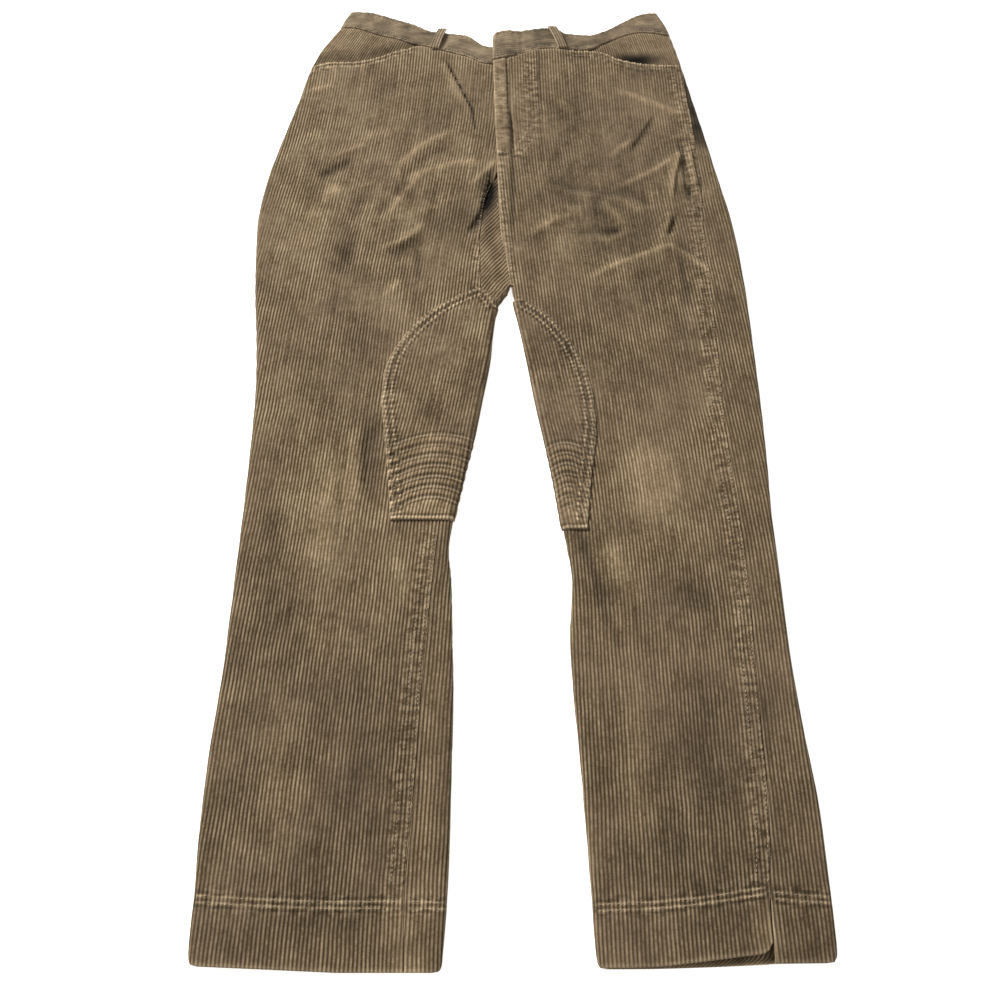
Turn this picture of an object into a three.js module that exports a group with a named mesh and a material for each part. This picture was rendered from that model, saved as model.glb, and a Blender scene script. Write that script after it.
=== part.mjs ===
// A pair of corduroy jodhpurs lying face up on a flat surface, waist towards +Y, in millimetres.
// The garment's right side, which its wearer calls right, is at -X.
// Every length called y below is measured up from the lowest hem edge before the group is centred.
import * as THREE from "three";

// Cloth
const wall = 2.0; // corduroy, pile included
const hemWall = 2.8; // the hem is turned up, so the wall is thicker there
const bandWall = 3.0; // waistband, two layers and interfacing
const patchWall = 1.5;
const seamGap = 0.3;
const bandGap = 0.8; // along the curved waist seam
const lieGap = 0.4; // between a piece and the panel it lies on

// Folded edges: half the thickness of a fold and how far its curve runs in from the edge
const foldHalf = 4.0;
const foldReach = 4.4;

// Levels up the garment
const hemDepth = 52;
const legSplit = 628; // where the two legs part
const tongueTop = 736; // top of the crotch cloth that shows between the legs
const flyFoot = 802;
const waistSeam = 960; // nominal; the real seam line dips and rises around it
const bandLowAtSide = { right: 1007, left: 993 };
const bandTopAtSide = { right: 1031, left: 1029 };

// The top layer
const lowestTop = 5.2; // it never sinks below this
const leastWrap = 2.5; // the back left shows on top by this much at least
const seamRib = { wide: 14, slope: 1.5, rise: 0.7, fade: 6 }; // felled seams stand up in a flat rib
const slitCorner = { x: 203, y: 8, spread: 30, lift: 1.6, open: 0.7 }; // at the hem of the left outseam
const flyLap = { over: 3.2, lapEnd: 9, slope: 8, run: 90, placket: 1.3, placketEnd: 42, placketSlope: 6 };
const tongue = { low: 4.9, before: 18, across: 14, run: 16 }; // crotch cloth, as it goes under the left front

// Pockets: a gape in the left one, and the facings that show over both
const pocketGape = { x: 152, y: 946, across: 24, along: 16, lift: 2.6, sink: 1.2 };
const facing = { tuck: 14, sink: 2.5, lip: 0.8, leastShown: 1.6, rise: 14, lowest: 4.5 };

// Waistband: its fold, its lap at the front and how much it stands over the panels
const bandSet = { turnHeight: 4.4, stand: 0.6, lap: 3.4, lapEnd: 8, slope: 14 };
const bandEndAt = { right: 4, left: -8.6 };
const loopSize = { width: 10, wall: 1.8, bow: 2.4 };
const loopAt = {
  right: { lowX: -76, lowY: 969, topX: -67, topY: 1002 },
  left: { lowX: 73, lowY: 970, topX: 61, topY: 1006 },
};

// Knee patches: levels of foot and top, and the sewn channels over the foot
const patchFoot = { right: 367, left: 358 };
const patchTop = { right: 626, left: 611 };
const quilt = { channels: 7, depth: 78, rise: 0.5 };

// Folded side edges of the two outer sides
const outerEdge = [
  { y: 0, right: -231.5, left: 251.0 },
  { y: 22, right: -233.0, left: 252.0 },
  { y: 64, right: -234.2, left: 252.8 },
  { y: 109, right: -236.0, left: 253.2 },
  { y: 155, right: -236.0, left: 250.5 },
  { y: 204, right: -234.0, left: 247.2 },
  { y: 256, right: -232.8, left: 245.8 },
  { y: 369, right: -232.6, left: 245.6 },
  { y: 430, right: -233.0, left: 247.8 },
  { y: 495, right: -234.6, left: 249.0 },
  { y: 565, right: -240.8, left: 249.2 },
  { y: 613, right: -247.0, left: 249.0 },
  { y: 664, right: -251.8, left: 247.4 },
  { y: 717, right: -255.0, left: 243.4 },
  { y: 773, right: -250.2, left: 235.2 },
  { y: 831, right: -239.4, left: 226.6 },
  { y: 892, right: -226.4, left: 217.0 },
  { y: 932, right: -219.4, left: 210.8 },
  { y: 965, right: -209.6, left: 205.6 },
  { y: 990, right: -197.4, left: 200.4 },
  { y: 1007, right: -188.4, left: 196.4 },
  { y: 1020, right: -184.4, left: 192.0 },
  { y: 1031, right: -178.6, left: 187.0 },
];

// Folded inner edges of the two legs, and of the crotch cloth above the split
const innerEdge = [
  { y: 0, right: -43.0, left: 72.0 },
  { y: 64, right: -39.6, left: 69.0 },
  { y: 109, right: -38.8, left: 66.8 },
  { y: 155, right: -38.6, left: 64.4 },
  { y: 204, right: -38.4, left: 61.2 },
  { y: 256, right: -40.2, left: 59.4 },
  { y: 311, right: -42.4, left: 63.0 },
  { y: 340, right: -45.4, left: 59.4 },
  { y: 369, right: -41.8, left: 55.2 },
  { y: 409, right: -34.0, left: 49.6 },
  { y: 452, right: -25.4, left: 42.2 },
  { y: 495, right: -18.2, left: 34.4 },
  { y: 541, right: -10.8, left: 27.2 },
  { y: 589, right: -6.4, left: 18.6 },
  { y: 604, right: -2.0, left: 15.4 },
  { y: 628, right: 10.2, left: 11.6 },
  { y: 645, right: 8.0, left: 9.2 },
  { y: 662, right: 8.6, left: 6.6 },
  { y: 704, right: 6.0, left: 0.6 },
  { y: 736, right: -4.0, left: -1.2 },
  { y: 802, right: -4.0, left: -3.4 },
  { y: 892, right: -4.0, left: -6.6 },
  { y: 960, right: -4.0, left: -8.0 },
];

// Seams on top: right inseam and fly edge, left outseam; underneath: centre back
const seamLine = [
  { y: 0, rightInseam: -71.0, leftOutseam: 203.2 },
  { y: 55, rightInseam: -72.4, leftOutseam: 205.8 },
  { y: 98, rightInseam: -70.4, leftOutseam: 210.6 },
  { y: 158, rightInseam: -67.0, leftOutseam: 213.4 },
  { y: 232, rightInseam: -64.4, leftOutseam: 214.6 },
  { y: 301, rightInseam: -59.4, leftOutseam: 216.8 },
  { y: 367, rightInseam: -54.0, leftOutseam: 216.0 },
  { y: 454, rightInseam: -43.0, leftOutseam: 212.4 },
  { y: 577, rightInseam: -24.0, leftOutseam: 213.4 },
  { y: 628, rightInseam: -19.4, leftOutseam: 213.6 },
  { y: 690, rightInseam: -20.8, leftOutseam: 213.2 },
  { y: 731, rightInseam: -17.0, leftOutseam: 214.6 },
  { y: 770, rightInseam: -7.0, leftOutseam: 215.6 },
  { y: 802, rightInseam: 3.0, leftOutseam: 214.6 },
  { y: 831, rightInseam: 4.0, leftOutseam: 213.6 },
  { y: 860, rightInseam: 5.0, leftOutseam: 213.2 },
  { y: 892, rightInseam: 5.4, leftOutseam: 210.4 },
  { y: 921, rightInseam: 5.8, leftOutseam: 208.6 },
  { y: 960, rightInseam: 6.0, leftOutseam: 203.4 },
];
const centreBack = [
  { y: 628, x: 11.0 },
  { y: 664, x: 8.0 },
  { y: 720, x: 1.0 },
  { y: 780, x: 0.0 },
];

// Pocket scoops in the front panels; towards the middle they pass above the waist seam, which cuts them
const rightTop = [
  { x: -222, y: 930 },
  { x: -211, y: 944 },
  { x: -190, y: 949 },
  { x: -170, y: 949 },
  { x: -155, y: 952 },
  { x: -138, y: 958 },
  { x: -122, y: 966 },
  { x: -105, y: 972 },
  { x: -95, y: 976 },
  { x: 8, y: 976 },
];
const leftTop = [
  { x: -10, y: 974 },
  { x: 77, y: 974 },
  { x: 98, y: 968 },
  { x: 113, y: 966 },
  { x: 123, y: 962 },
  { x: 134, y: 953 },
  { x: 146, y: 948 },
  { x: 163, y: 945 },
  { x: 209, y: 944 },
];

// Waistband edges by x: lower and upper in front, lower and upper behind
const bandRight = [
  { x: -188, low: 1007, top: 1031, lowBack: 1007, topBack: 1031 },
  { x: -172, low: 1006, top: 1033, lowBack: 999, topBack: 1031 },
  { x: -155, low: 1000, top: 1032, lowBack: 991, topBack: 1029 },
  { x: -142, low: 994, top: 1028, lowBack: 986, topBack: 1025 },
  { x: -123, low: 988, top: 1020, lowBack: 979, topBack: 1017 },
  { x: -103, low: 980, top: 1012, lowBack: 971, topBack: 1009 },
  { x: -79, low: 973, top: 999, lowBack: 961, topBack: 997 },
  { x: -60, low: 966, top: 996, lowBack: 955, topBack: 992 },
  { x: -40, low: 959, top: 993, lowBack: 947, topBack: 985 },
  { x: -17, low: 947, top: 975, lowBack: 935, topBack: 971 },
  { x: 8, low: 944, top: 971, lowBack: 935, topBack: 971 },
];
const bandLeft = [
  { x: -10, low: 950, top: 986, lowBack: 934, topBack: 969 },
  { x: -3, low: 951, top: 995, lowBack: 935, topBack: 970 },
  { x: 13, low: 956, top: 999, lowBack: 942, topBack: 980 },
  { x: 31, low: 965, top: 1002, lowBack: 951, topBack: 989 },
  { x: 48, low: 971, top: 1005, lowBack: 957, topBack: 995 },
  { x: 62, low: 972, top: 1006, lowBack: 959, topBack: 997 },
  { x: 77, low: 970, top: 996, lowBack: 957, topBack: 995 },
  { x: 91, low: 968, top: 994, lowBack: 954, topBack: 992 },
  { x: 104, low: 971, top: 993, lowBack: 953, topBack: 991 },
  { x: 121, low: 979, top: 999, lowBack: 957, topBack: 995 },
  { x: 148, low: 994, top: 1017, lowBack: 974, topBack: 1012 },
  { x: 166, low: 998, top: 1028, lowBack: 985, topBack: 1023 },
  { x: 180, low: 997, top: 1031, lowBack: 991, topBack: 1029 },
  { x: 196, low: 993, top: 1029, lowBack: 993, topBack: 1029 },
];

// Hem lines by x; the left front is drawn up a little at its outer corner
const hemRight = [
  { x: -232, y: 4.5 },
  { x: -180, y: 2.4 },
  { x: -122, y: 0 },
];
const hemLeft = [
  { x: 72, back: 2.4, front: 3.0 },
  { x: 110, back: 2.6, front: 3.8 },
  { x: 150, back: 3.6, front: 7.4 },
  { x: 182, back: 4.8, front: 11.2 },
  { x: 206, back: 6.0, front: 14.6 },
  { x: 251, back: 6.6, front: 15.0 },
];

// Front edges of the knee patches, from the foot to the top
const patchFront = [
  { y: 367, right: -98.4, left: 79.0 },
  { y: 399, right: -101.6, left: 82.4 },
  { y: 430, right: -105.0, left: 86.6 },
  { y: 462, right: -109.4, left: 90.6 },
  { y: 495, right: -112.8, left: 89.0 },
  { y: 518, right: -112.8, left: 85.2 },
  { y: 541, right: -107.4, left: 78.2 },
  { y: 562, right: -97.4, left: 69.0 },
  { y: 583, right: -82.0, left: 54.8 },
  { y: 599, right: -66.6, left: 40.0 },
  { y: 609, right: -54.0, left: 26.0 },
  { y: 616, right: -42.0, left: 20.0 },
  { y: 626, right: -22.0, left: 18.0 },
];

// How high the top layer lies over the surface, by level
const loft = [
  { y: 0, z: 7.8 },
  { y: 340, z: 7.8 },
  { y: 560, z: 7.9 },
  { y: 1035, z: 8.2 },
];

// The main creases: soft ridges (rise over 0) and troughs (rise under 0) along straight runs
const rightCreases = [
  { x1: -228, y1: 690, x2: -150, y2: 765, wide: 11, rise: -2.2 },
  { x1: -236, y1: 722, x2: -140, y2: 800, wide: 12, rise: 2.4 },
  { x1: -118, y1: 785, x2: -42, y2: 816, wide: 9, rise: 2.2 },
  { x1: -122, y1: 752, x2: -48, y2: 780, wide: 9, rise: -1.6 },
  { x1: -116, y1: 612, x2: -62, y2: 692, wide: 9, rise: 2.2 },
  { x1: -96, y1: 596, x2: -40, y2: 668, wide: 8, rise: -1.5 },
  { x1: -25, y1: 690, x2: -12, y2: 772, wide: 10, rise: -3.4 },
  { x1: -50, y1: 702, x2: -30, y2: 780, wide: 8, rise: 1.8 },
  { x1: -61, y1: 951, x2: -30, y2: 874, wide: 4, rise: -2.6 },
  { x1: -74, y1: 944, x2: -42, y2: 866, wide: 9, rise: 1.8 },
  { x1: -122, y1: 458, x2: -118, y2: 392, wide: 8, rise: -1.5 },
  { x1: -150, y1: 430, x2: -158, y2: 320, wide: 15, rise: 1.4 },
  { x1: -96, y1: 352, x2: -80, y2: 284, wide: 9, rise: 1.2 },
  { x1: -202, y1: 380, x2: -196, y2: 250, wide: 15, rise: -1.1 },
  { x1: -196, y1: 880, x2: -120, y2: 905, wide: 14, rise: 1.4 },
  { x1: -180, y1: 200, x2: -168, y2: 90, wide: 16, rise: 1.0 },
  { x1: -112, y1: 230, x2: -116, y2: 120, wide: 13, rise: -1.0 },
];
const leftCreases = [
  { x1: 96, y1: 632, x2: 194, y2: 679, wide: 8, rise: 2.4 },
  { x1: 192, y1: 679, x2: 226, y2: 634, wide: 7, rise: 2.0 },
  { x1: 56, y1: 712, x2: 126, y2: 688, wide: 9, rise: -1.9 },
  { x1: 30, y1: 698, x2: 78, y2: 732, wide: 9, rise: 2.0 },
  { x1: 186, y1: 726, x2: 173, y2: 695, wide: 6, rise: -2.6 },
  { x1: 205, y1: 762, x2: 208, y2: 838, wide: 5, rise: -2.8 },
  { x1: 197, y1: 740, x2: 199, y2: 826, wide: 6, rise: 1.8 },
  { x1: 145, y1: 808, x2: 172, y2: 872, wide: 9, rise: -1.6 },
  { x1: 132, y1: 908, x2: 206, y2: 862, wide: 7, rise: 1.5 },
  { x1: 148, y1: 646, x2: 138, y2: 560, wide: 12, rise: -1.5 },
  { x1: 184, y1: 648, x2: 188, y2: 596, wide: 7, rise: -1.8 },
  { x1: 74, y1: 352, x2: 98, y2: 286, wide: 5, rise: -2.5 },
  { x1: 86, y1: 296, x2: 106, y2: 246, wide: 5, rise: -2.2 },
  { x1: 96, y1: 344, x2: 124, y2: 286, wide: 10, rise: 1.8 },
  { x1: 138, y1: 440, x2: 142, y2: 370, wide: 22, rise: 1.6 },
  { x1: 118, y1: 288, x2: 190, y2: 304, wide: 14, rise: -1.2 },
  { x1: 112, y1: 200, x2: 116, y2: 90, wide: 14, rise: 1.0 },
  { x1: 168, y1: 220, x2: 164, y2: 100, wide: 14, rise: -1.0 },
  { x1: 60, y1: 790, x2: 120, y2: 800, wide: 14, rise: 1.2 },
];

const clamp01 = (t) => Math.min(1, Math.max(0, t));
const mix = (a, b, t) => a + (b - a) * t;
const ease = (t) => clamp01(t) ** 2 * (3 - 2 * clamp01(t));

// A smooth curve through one column of a table: cubic pieces whose slopes never overshoot.
function curve(table, key, column) {
  const u = table.map((row) => row[key]);
  const v = table.map((row) => row[column]);
  const last = u.length - 1;
  const slope = u.slice(1).map((next, i) => (v[i + 1] - v[i]) / (next - u[i]));
  const tangent = u.map((_, i) => {
    if (i === 0) return slope[0];
    if (i === last) return slope[last - 1];
    const product = slope[i - 1] * slope[i];
    return product <= 0 ? 0 : (2 * product) / (slope[i - 1] + slope[i]);
  });
  return (at) => {
    if (at <= u[0]) return v[0];
    if (at >= u[last]) return v[last];
    const i = u.findIndex((next) => next > at) - 1;
    const h = u[i + 1] - u[i];
    const t = (at - u[i]) / h;
    const rise = (1 + 2 * t) * (1 - t) ** 2 * v[i] + t * t * (3 - 2 * t) * v[i + 1];
    return rise + h * (t * (1 - t) ** 2 * tangent[i] + t * t * (t - 1) * tangent[i + 1]);
  };
}

const outer = { right: curve(outerEdge, "y", "right"), left: curve(outerEdge, "y", "left") };
const inner = { right: curve(innerEdge, "y", "right"), left: curve(innerEdge, "y", "left") };
const rightInseam = curve(seamLine, "y", "rightInseam");
const leftOutseam = curve(seamLine, "y", "leftOutseam");
const centreBackAt = curve(centreBack, "y", "x");
const loftAt = curve(loft, "y", "z");
const bandEdge = (table) =>
  Object.fromEntries(
    ["low", "top", "lowBack", "topBack"].map((column) => [column, curve(table, "x", column)]),
  );
const band = { right: bandEdge(bandRight), left: bandEdge(bandLeft) };
const scoopRight = curve(rightTop, "x", "y");
const scoopLeft = curve(leftTop, "x", "y");
const rightTopAt = (x) => Math.min(scoopRight(x), band.right.low(x) - bandGap);
const leftTopAt = (x) => Math.min(scoopLeft(x), band.left.low(x) - bandGap);

// Height that one crease adds at a point: a bell across its run, fading at both ends.
function creaseAt(crease, x, y) {
  const dx = crease.x2 - crease.x1;
  const dy = crease.y2 - crease.y1;
  const along = ((x - crease.x1) * dx + (y - crease.y1) * dy) / (dx * dx + dy * dy);
  const off = ((x - crease.x1) * dy - (y - crease.y1) * dx) / Math.hypot(dx, dy);
  const fade = ease((along + 0.25) / 0.5) * ease((1.25 - along) / 0.5);
  return crease.rise * fade * Math.exp(-((off / crease.wide) ** 2));
}

function topLayer(creases, x, y) {
  const z = creases.reduce((sum, crease) => sum + creaseAt(crease, x, y), loftAt(y));
  const over = z - lowestTop;
  return lowestTop + (over + Math.hypot(over, 0.8)) / 2;
}

// A felled seam's rib lies on the front side of the seam; across is the distance from the seam.
function ribAt(across) {
  const onFront = ease((seamRib.wide + seamRib.slope - across) / seamRib.slope);
  return seamRib.rise * (across < 0 ? ease(1 + across / seamRib.fade) : onFront);
}
function rightHeight(x, y) {
  return topLayer(rightCreases, x, y) + ribAt(rightInseam(y) - x) * ease((patchFoot.right - y) / 20);
}

// The left front laps over the right at the fly and gapes at its pocket and hem slit.
function leftHeight(x, y) {
  const above = ease((y - legSplit) / flyLap.run);
  const lap = flyLap.over * (1 - ease((x - flyLap.lapEnd) / flyLap.slope)) * above;
  const underneath = (1 - ease((x - flyLap.placketEnd) / flyLap.placketSlope)) * ease((y - flyFoot + 8) / 12);
  const g = pocketGape;
  const gape = g.lift * Math.exp(-(((x - g.x) / g.across) ** 2) - ((y - g.y) / g.along) ** 2);
  const s = slitCorner;
  const corner = s.lift * Math.exp(-(((x - s.x) ** 2 + (y - s.y) ** 2) / s.spread ** 2));
  const rib = ribAt(leftOutseam(y) - x) * ease((flyFoot - y) / 30);
  return topLayer(leftCreases, x, y) + Math.max(lap, flyLap.placket * underneath) + gape + corner + rib;
}

// A point of a folded edge. q is the distance round the fold: over 0 on top, under 0 beneath.
const quarter = (foldReach * Math.PI) / 2;
const reachOf = (q) => (q < quarter ? foldReach * (1 - Math.cos(q / foldReach)) : foldReach + q - quarter);
const liftOf = (q) => (q < quarter ? Math.sin(q / foldReach) : 1);
const turnOf = (d) => (d < foldReach ? foldReach * Math.acos(1 - d / foldReach) : quarter + d - foldReach);
function folded(edge, inward, q, y, height, middle = foldHalf) {
  const x = edge + inward * reachOf(Math.abs(q));
  const lift = liftOf(Math.abs(q));
  const z = q >= 0 ? middle + (height(x, y) - middle) * lift : middle * (1 - lift);
  return new THREE.Vector3(x, y, z);
}

// Evenly spaced stops from a to b, without a.
const stops = (a, b, count) => Array.from({ length: count }, (_, i) => mix(a, b, (i + 1) / count));
const hemRows = stops(0, hemDepth, 2);
const legCount = 20;
const legStep = (legSplit - hemDepth) / legCount;
const legRows = stops(hemDepth, legSplit, legCount);
const hipRows = stops(legSplit, waistSeam, 20);
const panelRows = [0, ...hemRows, ...legRows, ...hipRows];

// Hem and waist lines bend the rows near them.
const hemLine = {
  right: curve(hemRight, "x", "y"),
  left: curve(hemLeft, "x", "back"),
  leftFront: curve(hemLeft, "x", "front"),
};
function rowLevel(level, x, hemAt, topAt) {
  const low = 1 - ease(level / 90);
  const high = ease((level - 800) / (waistSeam - 800));
  return level + hemAt(x) * low + (topAt(x) - waistSeam) * high;
}

// The point whose level and place across agree: pointAt(y) gives the point and yAt(x) its level.
function settled(start, pointAt, yAt) {
  let point = pointAt(start);
  for (let turn = 0; turn < 8; turn++) point = pointAt(yAt(point.x));
  return point;
}

// Direction of a run of three points at its middle one; the nearer neighbour counts for more.
function slopeAt(before, point, after) {
  const back = point.clone().sub(before);
  const on = after.clone().sub(point);
  return back.divideScalar(back.lengthSq() || 1).add(on.divideScalar(on.lengthSq() || 1));
}

// A closed wall: a grid of outer points, the same grid moved along its normals, and rims wherever the
// kept cells end. surface(row, column) gives a point, also one column past each side, and shift(point) its
// two offsets along the normal.
function wallGeometry(rowCount, columnCount, surface, facing, shift, keep = () => true) {
  const at = (r, c) => r * (columnCount + 1) + c;
  const wide = columnCount + 3;
  const points = [];
  for (let r = 0; r <= rowCount; r++) for (let c = -1; c <= columnCount + 1; c++) points.push(surface(r, c));
  const near = (r, c) => points[Math.min(rowCount, Math.max(0, r)) * wide + c + 1];
  const outerPoints = [];
  const innerPoints = [];
  for (let r = 0; r <= rowCount; r++) {
    for (let c = 0; c <= columnCount; c++) {
      const p = near(r, c);
      const across = slopeAt(near(r, c - 1), p, near(r, c + 1));
      const up = near(r + 1, c).clone().sub(near(r - 1, c));
      const normal = across.cross(up).normalize().multiplyScalar(facing);
      const [out, back] = shift(p, r, c);
      outerPoints.push(p.clone().addScaledVector(normal, out));
      innerPoints.push(p.clone().addScaledVector(normal, back));
    }
  }
  const kept = (r, c) => r >= 0 && c >= 0 && r < rowCount && c < columnCount && keep(r, c);
  const total = outerPoints.length;
  const index = [];
  const quad = (a, b, c, d) => {
    if (facing > 0) index.push(a, b, c, a, c, d);
    else index.push(a, c, b, a, d, c);
  };
  for (let r = 0; r < rowCount; r++) {
    for (let c = 0; c < columnCount; c++) {
      if (!kept(r, c)) continue;
      const [p00, p01, p11, p10] = [at(r, c), at(r, c + 1), at(r + 1, c + 1), at(r + 1, c)];
      quad(p00, p01, p11, p10);
      quad(p00 + total, p10 + total, p11 + total, p01 + total);
      if (!kept(r - 1, c)) quad(p00 + total, p01 + total, p01, p00);
      if (!kept(r + 1, c)) quad(p11 + total, p10 + total, p10, p11);
      if (!kept(r, c - 1)) quad(p10 + total, p00 + total, p00, p10);
      if (!kept(r, c + 1)) quad(p01 + total, p11 + total, p11, p01);
    }
  }
  const flat = [...outerPoints, ...innerPoints].flatMap((p) => [p.x, p.y, p.z]);
  const used = [...new Set(index)].sort((a, b) => a - b);
  const place = new Map(used.map((old, i) => [old, i]));
  const geometry = new THREE.BufferGeometry();
  geometry.setAttribute(
    "position",
    new THREE.Float32BufferAttribute(used.flatMap((i) => flat.slice(3 * i, 3 * i + 3)), 3),
  );
  geometry.setIndex(index.map((i) => place.get(i)));
  return geometry;
}

const clothShift = (p) => [0, -mix(hemWall, wall, ease((p.y - hemDepth + 6) / 12))];

// Front right: from the fold at the side across the top to the inseam and the fly.
const arcSteps = 3;
const frontSteps = 16;
const arcTurn = (c) => mix(seamGap / 2, quarter, c / arcSteps);

// Shares of the way across a front: even steps, then two that hold the seam's rib.
function frontShare(step, span) {
  const rib = 1 - seamRib.wide / span;
  const ribStart = 1 - (seamRib.wide + seamRib.slope) / span;
  if (step <= frontSteps - 2) return (ribStart * step) / (frontSteps - 2);
  return step === frontSteps - 1 ? rib : 1 + (step - frontSteps) * 0.01;
}
function frontRightPoint(r, c) {
  const level = panelRows[r];
  const pointAt = (y) => {
    const edge = outer.right(y);
    if (c <= arcSteps) return folded(edge, 1, arcTurn(c), y, rightHeight);
    const end = rightInseam(y) - seamGap / 2;
    const x = mix(edge + foldReach, end, frontShare(c - arcSteps, end - edge - foldReach));
    return new THREE.Vector3(x, y, rightHeight(x, y));
  };
  return settled(level, pointAt, (x) => rowLevel(level, x, hemLine.right, rightTopAt));
}

// Front left: from the inner fold, or above the split its free edge, across the top to the outseam.
function frontLeftPoint(r, c) {
  const level = panelRows[r];
  const open = level > legSplit;
  const slit = level < hemDepth ? slitCorner.open : 0;
  const pointAt = (y) => {
    const edge = inner.left(y);
    if (c <= arcSteps && !open) return folded(edge, 1, arcTurn(c), y, leftHeight);
    if (c <= arcSteps) {
      const x = edge + (foldReach * c) / arcSteps;
      return new THREE.Vector3(x, y, leftHeight(x, y));
    }
    const start = turnOf(outer.left(y) - edge - foldReach);
    const end = leftSeamTurn(y) + seamGap / 2 + slit;
    return folded(outer.left(y), -1, mix(start, end, frontShare(c - arcSteps, start - end)), y, leftHeight);
  };
  return settled(level, pointAt, (x) => rowLevel(level, x, hemLine.leftFront, leftTopAt));
}
function leftSeamTurn(y) {
  return turnOf(Math.max(outer.left(y) - leftOutseam(y), leastWrap));
}

// Crotch cloth: above the split it falls to a low level as it goes under the left front.
function rightWrapHeight(x, y) {
  const across = ease((x - inner.left(y) + tongue.before) / tongue.across);
  return mix(rightHeight(x, y), tongue.low, across * ease((y - legSplit) / tongue.run));
}

// Back right: from the side fold, beneath, round the inner fold and up to the inseam.
const backFlat = 7;
const wrapTop = 3;
const backColumns = arcSteps + backFlat + 2 * arcSteps + wrapTop;
function backRightPoint(r, c) {
  const level = panelRows[r];
  const open = level > legSplit;
  const beneath = c <= arcSteps + backFlat;
  const pointAt = (y) => {
    if (c <= arcSteps) return folded(outer.right(y), 1, -arcTurn(c), y, rightHeight);
    const edge = inner.right(y);
    let step = c - arcSteps;
    if (step <= backFlat) {
      const end = open ? centreBackAt(y) - seamGap / 2 : edge - foldReach;
      return new THREE.Vector3(mix(outer.right(y) + foldReach, end, step / backFlat), y, 0);
    }
    step -= backFlat + arcSteps;
    if (step <= arcSteps && !open) return folded(edge, -1, (quarter * step) / arcSteps, y, rightWrapHeight);
    if (step < -1) return new THREE.Vector3(centreBackAt(y) + 1, y, 0);
    const free = edge - (foldReach * step) / arcSteps;
    const onTop = mix(edge - foldReach, rightInseam(y) + seamGap / 2, (step - arcSteps) / wrapTop);
    const x = step <= arcSteps ? free : onTop;
    return new THREE.Vector3(x, y, rightWrapHeight(x, y));
  };
  const topAt = beneath ? backTopAt.right : () => waistSeam;
  return settled(level, pointAt, (x) => rowLevel(level, x, hemLine.right, topAt));
}
const backTopAt = {
  right: (x) => band.right.lowBack(x) - bandGap,
  left: (x) => band.left.lowBack(x) - bandGap,
};
function backRightKeeps(r, c) {
  const level = panelRows[r + 1];
  if (c < arcSteps + backFlat) return true;
  if (c < arcSteps + backFlat + arcSteps) return level <= legSplit + 1;
  return level <= tongueTop;
}

// Back left: from the inner fold or the centre back, beneath, round the side fold and up to the outseam.
function backLeftPoint(r, c) {
  const level = panelRows[r];
  const open = level > legSplit;
  const pointAt = (y) => {
    const edge = outer.left(y);
    if (c < arcSteps && !open) return folded(inner.left(y), 1, -arcTurn(c), y, leftHeight);
    const start = open ? centreBackAt(y) + seamGap / 2 : inner.left(y) + foldReach;
    let step = c - arcSteps;
    if (step < 0) return new THREE.Vector3(start + step, y, 0);
    if (step <= backFlat) return new THREE.Vector3(mix(start, edge - foldReach, step / backFlat), y, 0);
    step -= backFlat;
    if (step <= arcSteps) return folded(edge, -1, mix(-quarter, 0, step / arcSteps), y, leftHeight);
    const seam = leftSeamTurn(y) - seamGap / 2;
    return folded(edge, -1, (seam * (step - arcSteps)) / (arcSteps + wrapTop), y, leftHeight);
  };
  return settled(level, pointAt, (x) => rowLevel(level, x, hemLine.left, backTopAt.left));
}
const backLeftColumns = 3 * arcSteps + backFlat + wrapTop;
const backLeftKeeps = (r, c) => c >= arcSteps || panelRows[r + 1] <= legSplit + 1;

// Waistband halves: from the centre back, beneath, round the side fold and over the top to the fly.
const bandRows = 3;
const bandBack = backFlat;
const bandFront = 16;
const bandColumns = bandBack + 2 * arcSteps + bandFront;
function bandPoint(side, r, c) {
  const inward = side === "right" ? 1 : -1;
  const share = r / bandRows;
  const edges = band[side];
  const beneath = c <= bandBack + arcSteps;
  const [low, top] = beneath ? [edges.lowBack, edges.topBack] : [edges.low, edges.top];
  const yAt = (x) => mix(low(x), top(x), share);
  const height = (x, y) => bandTopHeight(side, x, y);
  const pointAt = (y) => {
    const edge = outer[side](y);
    const flatEdge = edge + inward * foldReach;
    if (c <= bandBack) return new THREE.Vector3(mix((-inward * seamGap) / 2, flatEdge, c / bandBack), y, 0);
    const step = c - bandBack;
    if (step <= 2 * arcSteps) {
      const q = mix(-quarter, quarter, step / (2 * arcSteps));
      return folded(edge, inward, q, y, height, bandSet.turnHeight);
    }
    const x = mix(flatEdge, bandEndAt[side], (step - 2 * arcSteps) / bandFront);
    return new THREE.Vector3(x, y, height(x, y));
  };
  return settled(mix(bandLowAtSide[side], bandTopAtSide[side], share), pointAt, yAt);
}
function bandTopHeight(side, x, y) {
  const lap = side === "left" ? bandSet.lap * (1 - ease((x - bandSet.lapEnd) / bandSet.slope)) : 0;
  return loftAt(y) + bandSet.stand + lap;
}

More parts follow.
